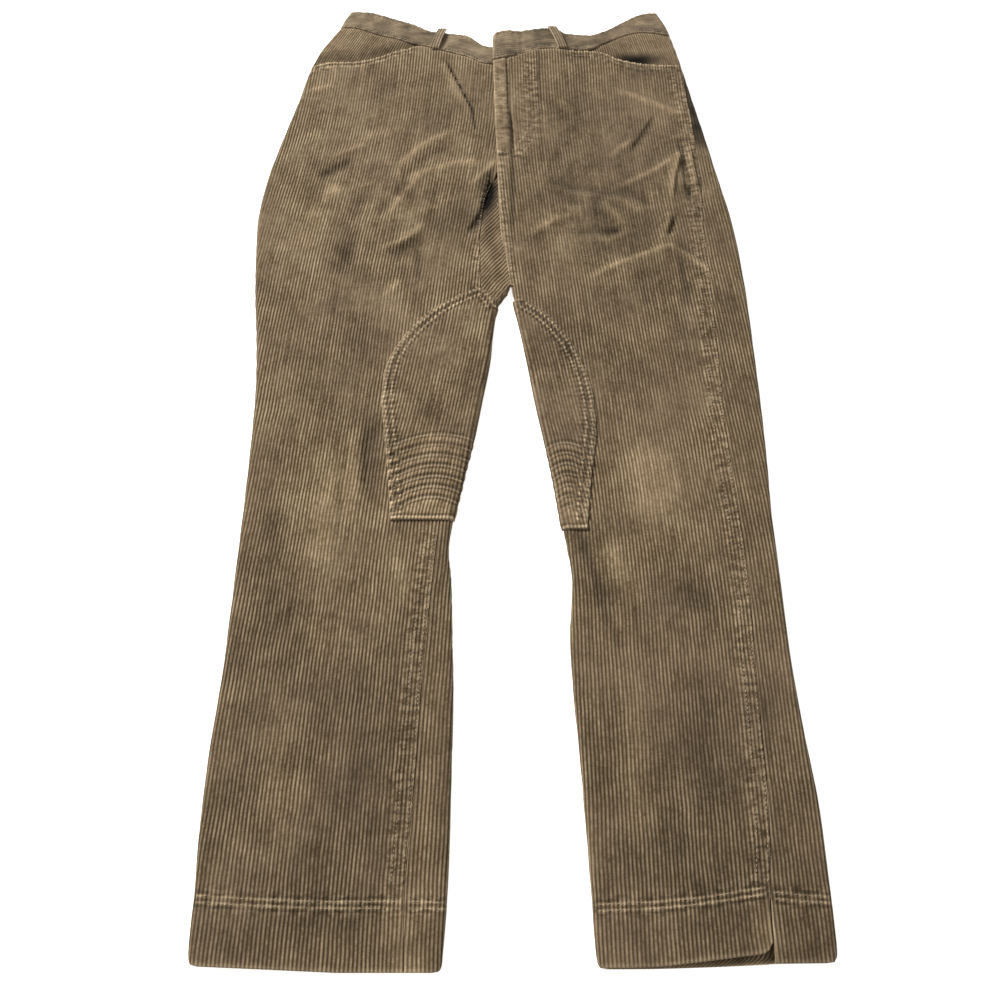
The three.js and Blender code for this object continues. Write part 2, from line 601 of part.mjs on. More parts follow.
// Pocket facings: level with the waistband seam, sinking under the scooped edge of the front.
const facingSteps = 10;
const facingRows = 7;
const facingTuckRows = 2;
const gapeDepth = pocketGape.lift + pocketGape.sink;
const facings = {
  right: { inward: 1, inEnd: -101, scoop: rightTopAt, height: rightHeight, gape: 0 },
  left: { inward: -1, inEnd: 107, scoop: leftTopAt, height: leftHeight, gape: gapeDepth },
};
function facingPoint(side, r, c) {
  const { inward, inEnd, scoop, height, gape } = facings[side];
  const g = pocketGape;
  const yAt = (x) => {
    const lip = scoop(x) + facing.lip;
    if (r < facingTuckRows) return mix(scoop(x) - facing.tuck, lip, r / facingTuckRows);
    const top = Math.max(band[side].low(x) - bandGap, lip + facing.leastShown);
    return mix(lip, top, (r - facingTuckRows) / (facingRows - facingTuckRows));
  };
  const pointAt = (y) => {
    const edge = outer[side](y);
    const start = side === "right" ? seamGap : leftSeamTurn(y) + 2 * seamGap;
    const end = Math.max(quarter, start + 4);
    const startReach = reachOf(start);
    const sunk = (px, py) => {
      const dip = facing.sink * (1 - ease((py - scoop(px) - facing.lip) / facing.rise));
      const open = gape * Math.exp(-(((px - g.x) / g.across) ** 2) - ((py - g.y) / g.along) ** 2);
      const share = ease((Math.abs(px - edge) - startReach) / (reachOf(end) - startReach));
      return Math.max(height(px, py) - (dip + open) * share, facing.lowest);
    };
    if (c <= arcSteps) return folded(edge, inward, mix(start, end, c / arcSteps), y, sunk);
    const x = mix(edge + inward * reachOf(end), inEnd, (c - arcSteps) / facingSteps);
    return new THREE.Vector3(x, y, sunk(x, y));
  };
  return settled(scoop(outer[side](waistSeam)), pointAt, yAt);
}
const facingKeeps = (r, c) => r >= facingTuckRows || c >= arcSteps;

// Knee patches: cut from the panel's own surface, moved out, with sewn channels across the foot.
const quiltRows = 2 * quilt.channels;
const patchRows = quiltRows + 10;
const patchColumns = 9;
const patchEdge = { right: curve(patchFront, "y", "right"), left: curve(patchFront, "y", "left") };
const patchArc = 3;
function patchLevel(side, r) {
  const quiltTop = patchFoot[side] + quilt.depth;
  if (r <= quiltRows) return mix(patchFoot[side], quiltTop, r / quiltRows);
  return mix(quiltTop, patchTop[side], (r - quiltRows) / (patchRows - quiltRows));
}

// The panels under a patch, row by row: points from the inner fold across the top.
const panelProfiles = {
  right: (r) => [
    ...Array.from({ length: wrapTop + 1 }, (_, i) => backRightPoint(r, backColumns - wrapTop + i)),
    ...Array.from({ length: frontSteps + 1 }, (_, i) => frontRightPoint(r, arcSteps + frontSteps - i)),
  ],
  left: (r) => Array.from({ length: frontSteps + 1 }, (_, i) => frontLeftPoint(r, arcSteps + i)),
};
const rowBelow = (y) => hemRows.length + Math.floor((y - hemDepth) / legStep);
const profileStore = new Map();
function profileHeight(side, r, x) {
  const key = `${side} ${r}`;
  if (!profileStore.has(key)) profileStore.set(key, panelProfiles[side](r));
  const run = profileStore.get(key);
  const sign = side === "right" ? -1 : 1;
  const next = Math.max(1, run.findIndex((p) => (p.x - x) * sign > 0));
  const [a, b] = [run[next - 1], run[next]];
  return mix(a.z, b.z, clamp01((x - a.x) / (b.x - a.x)));
}
function panelHeight(side, x, y) {
  const r = rowBelow(y);
  return mix(profileHeight(side, r, x), profileHeight(side, r + 1, x), (y - panelRows[r]) / legStep);
}
function patchPoint(side, r, c) {
  const outward = side === "right" ? -1 : 1;
  const y = patchLevel(side, r);
  const height = side === "right" ? rightHeight : leftHeight;
  const row = rowBelow(y);
  const q = mix(seamGap, quarter, Math.min(1, c / patchArc));
  const turn = (level) => folded(inner[side](level), outward, q, level, height);
  const round = turn(panelRows[row]).lerp(turn(panelRows[row + 1]), (y - panelRows[row]) / legStep);
  if (c <= patchArc) return round;
  const x = mix(round.x, patchEdge[side](y), (c - patchArc) / (patchColumns - patchArc));
  return new THREE.Vector3(x, y, panelHeight(side, x, y));
}
function patchShift(p, r) {
  const ridge = r < quiltRows && r % 2 === 1 ? quilt.rise : 0;
  return [lieGap + patchWall + ridge, lieGap];
}

// Belt loops: a strip tacked at both ends of the waistband and bowed clear of it.
const loopRows = 8;
function loopGeometry(side) {
  const { lowX, lowY, topX, topY } = loopAt[side];
  const seat = Math.max(bandTopHeight(side, lowX, lowY), bandTopHeight(side, topX, topY)) + lieGap;
  const surface = (r, c) => {
    const share = r / loopRows;
    const x = mix(lowX, topX, share) + (c - 0.5) * loopSize.width;
    const y = mix(lowY, topY, share);
    return new THREE.Vector3(x, y, seat + loopSize.bow * Math.sin(Math.PI * share) ** 0.7);
  };
  return wallGeometry(loopRows, 1, surface, 1, () => [loopSize.wall, 0]);
}

const corduroy = () => new THREE.MeshStandardMaterial({ color: 0x776552, roughness: 0.95, metalness: 0 });
const bandCloth = () => new THREE.MeshStandardMaterial({ color: 0x867460, roughness: 0.95, metalness: 0 });
const patchCloth = () => new THREE.MeshStandardMaterial({ color: 0x7b6952, roughness: 0.95, metalness: 0 });

const garment = new THREE.Group();
function add(name, geometry, material) {
  const mesh = new THREE.Mesh(geometry, material);
  mesh.name = name;
  garment.add(mesh);
}

const rows = panelRows.length - 1;
const frontColumns = arcSteps + frontSteps;
function addPanel(name, columns, surface, facing, keep) {
  add(name, wallGeometry(rows, columns, surface, facing, clothShift, keep), corduroy());
}
addPanel("front_right", frontColumns, frontRightPoint, 1);
addPanel("front_left", frontColumns, frontLeftPoint, 1);
addPanel("back_right", backColumns, backRightPoint, -1, backRightKeeps);
addPanel("back_left", backLeftColumns, backLeftPoint, -1, backLeftKeeps);
for (const side of ["right", "left"]) {
  const turned = side === "right" ? 1 : -1;
  const bandSurface = (r, c) => bandPoint(side, r, c);
  const bandShift = () => [0, -bandWall];
  add(`waistband_${side}`, wallGeometry(bandRows, bandColumns, bandSurface, turned, bandShift), bandCloth());
  const facingSurface = (r, c) => facingPoint(side, r, c);
  add(
    `pocket_facing_${side}`,
    wallGeometry(facingRows, arcSteps + facingSteps, facingSurface, turned, () => [0, -wall], facingKeeps),
    corduroy(),
  );
  const patchSurface = (r, c) => patchPoint(side, r, c);
  const patch = wallGeometry(patchRows, patchColumns, patchSurface, -turned, patchShift);
  add(`knee_patch_${side}`, patch, patchCloth());
  add(`belt_loop_${side}`, loopGeometry(side), bandCloth());
}

// The group's origin is under the middle of the garment.
const bounds = new THREE.Box3().setFromObject(garment);
const middle = bounds.getCenter(new THREE.Vector3());
garment.position.set(-middle.x, -middle.y, -bounds.min.z);

export default garment;
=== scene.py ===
"""Looks of a pair of corduroy jodhpurs that lie face up on a pale floor, waist towards +Y.

Sizes are in millimetres; y is measured up from the lowest hem edge, and the garment's right is at -X.
"""

import math

import bpy
import numpy as np
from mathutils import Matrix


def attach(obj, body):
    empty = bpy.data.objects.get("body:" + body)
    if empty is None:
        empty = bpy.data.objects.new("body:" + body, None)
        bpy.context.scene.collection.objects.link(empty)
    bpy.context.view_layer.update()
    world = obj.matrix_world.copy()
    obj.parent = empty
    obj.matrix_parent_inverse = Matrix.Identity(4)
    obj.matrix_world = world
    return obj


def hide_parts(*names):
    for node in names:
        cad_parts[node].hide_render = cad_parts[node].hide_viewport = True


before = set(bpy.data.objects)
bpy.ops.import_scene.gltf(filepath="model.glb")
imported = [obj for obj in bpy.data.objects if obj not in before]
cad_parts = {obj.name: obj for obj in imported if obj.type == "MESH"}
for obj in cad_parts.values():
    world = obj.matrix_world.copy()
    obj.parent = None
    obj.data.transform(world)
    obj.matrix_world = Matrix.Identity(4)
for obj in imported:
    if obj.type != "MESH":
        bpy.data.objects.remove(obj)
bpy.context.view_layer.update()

# Place of the garment's own zero in the frame
ZERO_X = 0.9
ZERO_Y = -516.5
MM = 0.001

# Camera: level of view, lens and place
CAMERA_TILT = 26.0
CAMERA_PLACE = (0.9, -526.3, 822.3)
LENS = 36.0

# Cloth
WALL = 2.0
HEM_WALL = 2.8
BAND_WALL = 3.0
PATCH_WALL = 1.5
LOOP_WALL = 1.8
SEAM_GAP = 0.3
BAND_GAP = 0.8
LIE_GAP = 0.4

# Corduroy: distance between wales, their height, and mesh columns in each
PITCH = 3.175
WALE_RISE = 0.6
WALE_ROUND = 1.2
WALE_UNEVEN = 0.25
WALE_CELL = 11.0
WALE_COLUMNS = 4
INNER_STEP = 8

# Folded edges: half the thickness, reach of the curve, its length, and how much longer it is than its reach
FOLD_HALF = 4.0
FOLD_REACH = 4.4
QUARTER = FOLD_REACH * math.pi / 2
EXTRA = QUARTER - FOLD_REACH

# Levels up the garment
HEM_DEPTH = 52.0
LEG_SPLIT = 628.0
TONGUE_TOP = 776.0
FLY_FOOT = 802.0
WAIST_SEAM = 960.0
HEM_BENDS_TO = 90.0
WAIST_BENDS_FROM = 800.0


def columns(names, rows):
    """A table as a dictionary of named columns."""
    return dict(zip(names.split(), np.array(rows, float).T))


OUTER_EDGE = columns(
    "y right left",
    [
        (0, -227, 244), (4.5, -229, 246.5), (7, -231.4, 248.5), (12, -232.4, 251.2), (22, -233, 252),
        (64, -234.2, 252.8), (109, -236, 253.2), (155, -236, 250.5), (204, -234, 247.2),
        (256, -232.8, 245.8), (369, -232.6, 245.6), (430, -233, 247.8), (495, -234.6, 249),
        (565, -240.8, 249.2), (613, -247, 249), (664, -251.8, 247.4), (717, -255, 243.4),
        (773, -250.2, 235.2), (831, -239.4, 226.6), (892, -226.4, 217), (932, -219.4, 210.8),
        (965, -209.6, 205.6), (990, -197.4, 200.4), (1007, -188.4, 196.4), (1020, -184.4, 192),
        (1031, -178.6, 187),
    ],
)
INNER_EDGE = columns(
    "y right left",
    [
        (0, -46.2, 77), (2.5, -43.8, 74.4), (6, -42.8, 72.2), (14, -42.2, 71.2), (64, -39.6, 69),
        (109, -38.8, 66.8), (155, -38.6, 64.4), (204, -38.4, 61.2), (256, -40.2, 59.4),
        (311, -42.4, 63), (340, -45.4, 59.4), (369, -41.8, 55.2), (409, -34, 49.6), (452, -25.4, 42.2),
        (495, -18.2, 34.4), (541, -10.8, 27.2), (589, -6.4, 18.6), (604, -2, 15.4), (628, 10.2, 11.6),
        (645, 8, 9.2), (662, 8.6, 6.6), (704, 6, 0.6), (736, -4, -1.2), (802, -4, -3.4),
        (892, -4, -6.6), (960, -4, -8),
    ],
)
SEAM_LINE = columns(
    "y inseam outseam",
    [
        (0, -71, 203.2), (55, -72.4, 205.8), (98, -70.4, 210.6), (158, -67, 213.4), (232, -64.4, 214.6),
        (301, -59.4, 216.8), (367, -54, 216), (454, -43, 212.4), (577, -24, 213.4), (628, -19.4, 213.6),
        (690, -20.8, 213.2), (731, -17, 214.6), (770, -7, 215.6), (802, 3, 214.6), (831, 4, 213.6),
        (860, 5, 213.2), (892, 5.4, 210.4), (921, 5.8, 208.6), (960, 6, 203.4),
    ],
)
CENTRE_BACK = columns("y x", [(628, 11.0), (664, 8.0), (720, 1.0), (780, 0.0)])

# Pocket scoops of the fronts
RIGHT_SCOOP = columns(
    "x y",
    [
        (-222, 930), (-211, 944), (-190, 949), (-170, 949), (-155, 952), (-138, 958), (-122, 966),
        (-105, 972), (-95, 976), (8, 976),
    ],
)
LEFT_SCOOP = columns(
    "x y",
    [
        (-10, 974), (77, 974), (98, 968), (113, 966), (123, 962), (134, 953), (146, 948), (163, 945),
        (209, 944),
    ],
)
BAND_RIGHT = columns(
    "x low top low_back top_back",
    [
        (-188, 1007, 1031, 1007, 1031), (-172, 1006, 1033, 999, 1031), (-155, 1000, 1032, 991, 1029),
        (-142, 994, 1028, 986, 1025), (-123, 988, 1020, 979, 1017), (-103, 980, 1012, 971, 1009),
        (-79, 973, 999, 961, 997), (-60, 966, 996, 955, 992), (-40, 959, 993, 947, 985),
        (-17, 947, 975, 935, 971), (8, 944, 971, 935, 971),
    ],
)
BAND_LEFT = columns(
    "x low top low_back top_back",
    [
        (-10, 950, 986, 934, 969), (-3, 951, 995, 935, 970), (13, 956, 999, 942, 980),
        (31, 965, 1002, 951, 989), (48, 971, 1005, 957, 995), (62, 972, 1006, 959, 997),
        (77, 970, 996, 957, 995), (91, 968, 994, 954, 992), (104, 971, 993, 953, 991),
        (121, 979, 999, 957, 995), (148, 994, 1017, 974, 1012), (166, 998, 1028, 985, 1023),
        (180, 997, 1031, 991, 1029), (196, 993, 1029, 993, 1029),
    ],
)
HEM_RIGHT = columns("x y", [(-232, 4.5), (-180, 2.4), (-122, 0)])
HEM_LEFT = columns(
    "x back front",
    [
        (72, 2.4, 3), (110, 2.6, 3.8), (150, 3.6, 7.4), (182, 4.8, 11.2), (195, 5.4, 12.8),
        (200, 5.7, 15.4), (203, 6, 20), (251, 6.6, 20),
    ],
)
PATCH_FRONT = columns(
    "y right left",
    [
        (367, -98.4, 79), (399, -101.6, 82.4), (430, -105, 86.6), (462, -109.4, 90.6),
        (495, -112.8, 89), (518, -112.8, 85.2), (541, -107.4, 78.2), (562, -97.4, 69), (583, -82, 54.8),
        (599, -66.6, 40), (609, -54, 26), (616, -42, 20), (626, -22, 18),
    ],
)
PATCH_CORNER = columns("y x", [(596, 6), (603, -3), (611, -6.5), (618, -11), (623, -16), (626, -22)])
PATCH_FOOT = {"right": 367.0, "left": 358.0}
PATCH_TOP = {"right": 626.0, "left": 611.0}

# Height of the top layer, by level
LOFT = columns("y z", [(0, 7.8), (340, 7.8), (560, 7.9), (1035, 8.2)])
LOWEST_TOP = 4.6
SOFT_FLOOR = 0.8

# How far the wales lean from the length of the garment, in degrees, by level
WALE_LEAN = columns(
    "y right left",
    [
        (0, -0.6, -1.6), (65, 1.6, 0), (156, 2.5, -0.2), (257, 3.2, -0.6), (369, 4.4, -3.4),
        (431, 4.2, -4.8), (496, 4, -5), (565, 3.8, -4.8), (639, 5.2, -5.2), (718, 7.8, -5),
        (802, 7.2, -4.4), (893, 4, -1.6), (960, 2, -1),
    ],
)

# The main creases: soft ridges and troughs along bowed runs; near and far are their widths on either side
CREASE_NAMES = "x1 y1 x2 y2 bend near far rise"
CREASES = {
    "right": columns(
        CREASE_NAMES,
        [
            (-194, 775, -160, 798, 0, 5, 8, -2.6), (-181, 803, -146, 819, 0, 5, 4, 1.8),
            (-109, 787, -53, 838, -5, 5, 7, 2.4), (-103, 771, -55, 817, -4, 5, 6, -1.3),
            (-97, 773, -18, 796, -3, 5, 6, 1.7), (-116, 720, -83, 775, -3, 5, 5, 1.9),
            (-125, 724, -103, 762, 0, 6, 5, -1.6), (-108, 784, -104, 751, 0, 2.5, 2.5, 1.2),
            (-121, 677, -79, 709, 4, 4, 5, 2.2), (-109, 667, -80, 690, 0, 6, 6, -1.6),
            (-9, 776, -32, 700, -5, 9, 3, -4.2), (-30, 762, -4, 796, 0, 4, 4, 2),
            (-60, 948, -30, 874, 0, 1.5, 1.5, -2.4), (-66, 944, -35, 871, 0, 5, 4, 1.3),
            (-30, 874, -26, 843, 0, 2.5, 2.5, -0.9), (-213, 905, -191, 908, 0, 2.5, 2.5, 1.4),
            (-211, 895, -188, 900, 0, 3, 3, -1.1), (-144, 884, -121, 922, 0, 13, 13, -1.3),
            (-163, 644, -153, 686, 0, 8, 8, -1.6), (-132, 724, -121, 740, 0, 6, 6, -1.2),
            (-183, 737, -171, 760, 0, 8, 8, 1.6), (-196, 716, -188, 733, 0, 9, 9, 1.3),
            (-116, 616, -99, 636, 0, 6, 6, 1.9), (-84, 675, -81, 634, 0, 6, 6, -1.3),
            (-151, 829, -99, 843, -2, 6, 6, 0.9), (-157, 703, -147, 751, 0, 7, 7, -1.2),
            (-65, 744, -55, 755, 0, 4, 4, 1), (-123, 462, -117, 388, 2, 10, 5, -2.4),
            (-134, 452, -132, 372, 0, 6, 8, 1.5), (-150, 430, -158, 320, 3, 15, 15, 1.4),
            (-96, 352, -80, 284, 0, 9, 9, 1.2), (-202, 380, -196, 250, -4, 15, 15, -1.3),
            (-176, 300, -160, 210, 0, 12, 14, -0.9), (-180, 200, -168, 90, 4, 16, 16, 1.1),
            (-112, 230, -116, 120, 0, 13, 13, -1.1),
        ],
    ),
    "left": columns(
        CREASE_NAMES,
        [
            (144, 812, 171, 861, 0, 2.5, 5, -1.9), (121, 803, 147, 828, 0, 4, 4, 1.5),
            (126, 759, 199, 810, 4, 4, 5, 2.4), (198, 808, 184, 744, 3, 2.2, 4.5, 2.6),
            (198, 822, 203, 737, 0, 3, 2.6, -3.6), (207, 818, 210, 744, 0, 3, 3, 1.5),
            (212, 809, 215, 755, 0, 2, 2, -2.4), (185, 719, 176, 695, 0, 3.5, 2, -2.8),
            (179, 725, 173, 700, 0, 3, 3, 1.4), (33, 695, 85, 725, -3, 5, 4, 2),
            (68, 700, 133, 704, 2, 3, 5, -2), (51, 773, 111, 753, 4, 6, 3.5, -2),
            (25, 773, 51, 768, 0, 4, 4, 1), (96, 641, 179, 679, -3, 4, 5, 2.8),
            (179, 679, 217, 643, -2, 3.5, 4.5, 2.4), (190, 681, 208, 659, 0, 5, 5, -1.6),
            (142, 646, 151, 605, 0, 6, 6, -1.5), (188, 661, 189, 601, 0, 5, 5, -1.8),
            (134, 901, 208, 861, -2, 4, 5, 2.4), (-3, 803, 24, 806, 0, 1.8, 1.8, -1.5),
            (60, 902, 84, 868, 3, 5, 6, 1.4), (179, 826, 208, 836, 0, 3, 3, 1.1),
            (96, 655, 118, 661, 0, 6, 6, -1), (103, 637, 112, 622, 0, 9, 9, 1.2),
            (151, 744, 168, 721, 0, 6, 6, -1.2), (94, 788, 121, 798, 0, 6, 6, -0.9),
            (8, 711, 1, 666, 0, 6, 6, -1), (57, 891, 70, 854, 0, 10, 10, -0.9),
            (74, 352, 98, 286, 3, 4, 6, -2.5), (86, 296, 106, 246, 0, 5, 6, -2),
            (96, 344, 124, 286, 0, 8, 10, 1.8), (138, 440, 142, 370, 0, 22, 20, 1.6),
            (118, 288, 190, 304, 5, 12, 14, -1.3), (112, 200, 116, 90, 3, 14, 12, 1.1),
            (168, 220, 164, 100, -4, 12, 14, -1.1),
        ],
    ),
}

# Creases of the hidden underside, which lift it a little from the floor
UNDER_CREASES = columns(
    CREASE_NAMES,
    [
        (-190, 660, -60, 640, 10, 7, 9, 0.45), (-170, 700, -70, 690, 8, 6, 8, 0.35),
        (190, 665, 70, 640, -10, 7, 9, 0.45), (175, 705, 80, 690, -8, 6, 8, 0.35),
        (-190, 440, -90, 425, 6, 6, 7, 0.4), (-180, 400, -80, 410, -5, 6, 7, 0.35),
        (190, 440, 90, 420, -6, 6, 7, 0.4), (180, 405, 90, 395, 5, 6, 7, 0.35),
        (-150, 300, -165, 150, 6, 14, 12, 0.3), (160, 300, 165, 150, -6, 12, 14, 0.3),
        (-120, 860, -60, 780, 6, 9, 7, 0.4), (130, 870, 70, 780, -6, 7, 9, 0.4),
    ],
)

# Soft spots of painted shade and painted light, such as the dark pit at the crotch, the shade under a scoop's
# lip and the lit and shaded flanks of folds, and of worn (lighter) cloth
SHADE_LIGHT_AND_WEAR_SPOTS = columns(
    "x y wide tall amount",
    [
        (-150, 385, 42, 75, 0.17), (-158, 285, 45, 60, 0.06), (-215, 700, 40, 60, 0.10),
        (-150, 535, 26, 70, -0.08), (-119, 440, 9, 60, -0.16), (-104, 730, 34, 16, 0.14),
        (-95, 700, 24, 20, -0.08), (-70, 870, 34, 40, -0.08), (-200, 860, 24, 34, 0.08),
        (-205, 200, 34, 90, -0.04), (-140, 60, 130, 130, -0.13), (-140, 190, 120, 70, -0.07),
        (-72, 38, 12, 12, 0.24), (-72, 5, 12, 9, 0.24), (-66, 75, 14, 20, 0.12), (196, 26, 7, 12, 0.2),
        (188, 12, 8, 7, -0.12), (140, 392, 36, 55, 0.18), (120, 270, 34, 50, 0.03),
        (116, 715, 22, 16, 0.14), (60, 590, 30, 40, -0.05), (186, 570, 16, 45, -0.12),
        (136, 500, 24, 40, -0.07), (170, 250, 60, 80, -0.08), (160, 60, 120, 140, -0.15),
        (120, 830, 90, 120, -0.07), (130, 770, 100, 110, -0.12), (-14, 752, 10, 27, -0.46),
        (-34, 738, 12, 34, -0.10), (2, 690, 14, 44, 0.16), (-60, 170, 11, 130, 0.14),
        (12, 796, 14, 6, 0.14), (-206, 905, 16, 6, 0.12), (-25, 792, 24, 14, 0.14),
        (230, 600, 14, 120, -0.05), (2, 890, 6, 60, 0.04), (11, 845, 4, 26, -0.26),
        (-167, 768, 16, 18, 0.12), (-92, 760, 10, 20, 0.11), (-94, 700, 18, 12, 0.13),
        (-109, 628, 8, 14, 0.14), (-195, 718, 14, 10, 0.11), (-162, 675, 12, 28, -0.12),
        (-131, 794, 12, 10, -0.10), (-205, 869, 18, 14, -0.08), (-206, 747, 10, 40, -0.08),
        (-170, 900, 14, 22, 0.08), (60, 926, 10, 14, 0.10), (71, 915, 12, 8, -0.12),
        (110, 869, 24, 18, -0.07), (110, 657, 14, 10, 0.13), (62, 712, 16, 8, 0.10),
        (116, 746, 12, 14, -0.10), (172, 930, 30, 5, -0.12),
    ],
)


# Where the pile is matted flat, and where the cloth is crumpled, by how many millimetres
MATTED = columns(
    "x y wide tall amount",
    [
        (120, 830, 90, 90, 0.42), (100, 700, 95, 60, 0.3), (-110, 770, 80, 90, 0.2),
        (-60, 880, 60, 60, 0.15), (28, 860, 12, 60, 0.5), (8, 850, 10, 60, 0.5),
    ],
)
CRUMPLED = columns(
    "x y wide tall amount",
    [
        (125, 735, 85, 75, 2), (-85, 745, 75, 75, 1.5), (-120, 620, 70, 60, 0.5),
        (140, 610, 60, 60, 0.6), (-130, 400, 60, 60, 0.45), (130, 400, 60, 60, 0.45),
    ],
)

# Noise: its cells before it repeats, then what it gives, as height, size of cells and seed
CLOUD_CELLS = 97
TOP_WAVES = ((0.5, 61.0, 4), (0.3, 27.0, 5))
UNDER_WAVES = ((0.12, 44.0, 6),)
WALE_WOBBLE = ((0.55, 41.0, 1), (0.3, 13.0, 2))
BAND_CLOUDS = ((0.2, 30.0, 11),)
BAND_STREAKS = ((0.26, 11.0, 14),)


def cloud(x, y, cell, seed):
    """Soft noise from -1 to 1: seeded values at the corners of square cells, blended between them."""
    values = np.random.default_rng(seed).uniform(-1, 1, (CLOUD_CELLS, CLOUD_CELLS))
    u, v = np.broadcast_arrays(x / cell, y / cell)
    i, j = np.floor(u).astype(int), np.floor(v).astype(int)

    def corner(di, dj):
        return values[(i + di) % CLOUD_CELLS, (j + dj) % CLOUD_CELLS]

    along, up = ease(u - i), ease(v - j)
    low = mix(corner(0, 0), corner(1, 0), along)
    return mix(low, mix(corner(0, 1), corner(1, 1), along), up)


def clouds(layers, x, y):
    """Sum of soft noises, each given by its height, the size of its cells and its seed."""
    return sum(height * cloud(x, y, cell, seed) for height, cell, seed in layers)


# Curves and blends
def mix(a, b, t):
    """Blend from a to b."""
    return a + (b - a) * t


def ease(t):
    """Smooth step: 3t^2 - 2t^3 between 0 and 1."""
    t = np.clip(t, 0.0, 1.0)
    return t * t * (3 - 2 * t)


def curve(table, key, column):
    """Cubic pieces through a table's points; a slope is its neighbours' harmonic mean, 0 at a turn."""
    u, v = table[key], table[column]
    slope = np.diff(v) / np.diff(u)
    product = slope[:-1] * slope[1:]
    total = np.where(product > 0, slope[:-1] + slope[1:], 1.0)
    tangent = np.concatenate([slope[:1], np.where(product > 0, 2 * product / total, 0.0), slope[-1:]])

    def at(value):
        value = np.clip(value, u[0], u[-1])
        i = np.clip(np.searchsorted(u, value, side="right") - 1, 0, len(u) - 2)
        h = u[i + 1] - u[i]
        t = (value - u[i]) / h
        rise = (1 + 2 * t) * (1 - t) ** 2 * v[i] + t * t * (3 - 2 * t) * v[i + 1]
        return rise + h * (t * (1 - t) ** 2 * tangent[i] + t * t * (t - 1) * tangent[i + 1])

    return at


outer = {side: curve(OUTER_EDGE, "y", side) for side in ("right", "left")}
inner = {side: curve(INNER_EDGE, "y", side) for side in ("right", "left")}
inseam = curve(SEAM_LINE, "y", "inseam")
outseam = curve(SEAM_LINE, "y", "outseam")
centre_back = curve(CENTRE_BACK, "y", "x")
loft = curve(LOFT, "y", "z")
band_edge = {
    side: {name: curve(table, "x", name) for name in ("low", "top", "low_back", "top_back")}
    for side, table in (("right", BAND_RIGHT), ("left", BAND_LEFT))
}
scoop = {"right": curve(RIGHT_SCOOP, "x", "y"), "left": curve(LEFT_SCOOP, "x", "y")}
hem_line = {
    "right": curve(HEM_RIGHT, "x", "y"),
    "left": curve(HEM_LEFT, "x", "back"),
    "left_front": curve(HEM_LEFT, "x", "front"),
}
patch_edge = {side: curve(PATCH_FRONT, "y", side) for side in ("right", "left")}
patch_corner = curve(PATCH_CORNER, "y", "x")


def front_top(side):
    """Upper end of a front: its scoop, or the waistband's lower edge where that is lower."""
    return lambda x: np.minimum(scoop[side](x), band_edge[side]["low"](x) - BAND_GAP)


def back_top(side):
    """Upper end of a back, under the waistband's lower edge."""
    return lambda x: band_edge[side]["low_back"](x) - BAND_GAP


# Sideways drift of the wales: the sum of the tangent of their lean over each millimetre of level
LEVELS = np.arange(0.0, 1061.0)
DRIFT = {
    side: np.cumsum(np.tan(np.radians(curve(WALE_LEAN, "y", side)(LEVELS))))
    for side in ("right", "left")
}
WALE_START = {"right": -150.0, "left": 160.0}


def wale_line(side, y):
    """Where the wale of number 0 lies at a level."""
    return WALE_START[side] + np.interp(y, LEVELS, DRIFT[side])


# Heights of the top layer
def crease_field(table, x, y):
    """Sum of creases: rise * exp(-(off / width)^2) across each bowed run, faded at both ends.

    The run bows sideways by bend * 4t(1 - t), and its width is near on its left and far on its right.
    """
    total = np.zeros(np.broadcast(x, y).shape)
    for x1, y1, x2, y2, bend, near, far, rise in zip(*(table[k] for k in CREASE_NAMES.split())):
        dx, dy = x2 - x1, y2 - y1
        along = ((x - x1) * dx + (y - y1) * dy) / (dx * dx + dy * dy)
        inside = np.clip(along, 0, 1)
        off = ((x - x1) * dy - (y - y1) * dx) / math.hypot(dx, dy) - bend * 4 * inside * (1 - inside)
        fade = ease((along + 0.15) / 0.35) * ease((1.15 - along) / 0.35)
        total += rise * fade * np.exp(-((off / np.where(off < 0, near, far)) ** 2))
    return total


def spots(table, x, y):
    """Sum of soft round spots: amount * exp(-(dx / wide)^2 - (dy / tall)^2)."""
    total = np.zeros(np.broadcast(x, y).shape)
    for cx, cy, wide, tall, amount in zip(*(table[k] for k in ("x", "y", "wide", "tall", "amount"))):
        total += amount * np.exp(-(((x - cx) / wide) ** 2) - ((y - cy) / tall) ** 2)
    return total


# Crumpling: how far and in what cells its places are moved, its own cells, and its middle level
CRUMPLE_MOVE = 16.0
MOVE_CELL = 39.0
CRUMPLE_CELL = 34.0
CRUMPLE_MIDDLE = 0.5
CRUMPLE_FINE = ((0.3, 15.0, 24),)


def folds(side, x, y):
    """Creases plus crumpling: amount * (middle - 2|n|) of a noise n whose places are moved by noise."""
    u = x + CRUMPLE_MOVE * cloud(x, y, MOVE_CELL, 21)
    v = y + CRUMPLE_MOVE * cloud(x, y, MOVE_CELL, 22)
    crumple = CRUMPLE_MIDDLE - 2 * np.abs(cloud(u, v, CRUMPLE_CELL, 23)) + clouds(CRUMPLE_FINE, u, v)
    return crease_field(CREASES[side], x, y) + spots(CRUMPLED, x, y) * crumple


def top_layer(side, x, y):
    """Loft plus folds and slow waves, with a soft floor: lowest + (over + sqrt(over^2 + soft^2)) / 2."""
    over = loft(y) + folds(side, x, y) + clouds(TOP_WAVES, x, y) - LOWEST_TOP
    return LOWEST_TOP + (over + np.hypot(over, SOFT_FLOOR)) / 2


def underside(x, y):
    """How far the hidden side lifts from the floor: its creases, faint waves, never below the floor."""
    return np.maximum(crease_field(UNDER_CREASES, x, y) + clouds(UNDER_WAVES, x, y), 0)


# A felled seam's rib: its width and height, and how far its steep and its gentle side reach
RIB_WIDE = 14.0
RIB_RISE = 0.8
RIB_STEEP = 1.5
RIB_GENTLE = 6.0


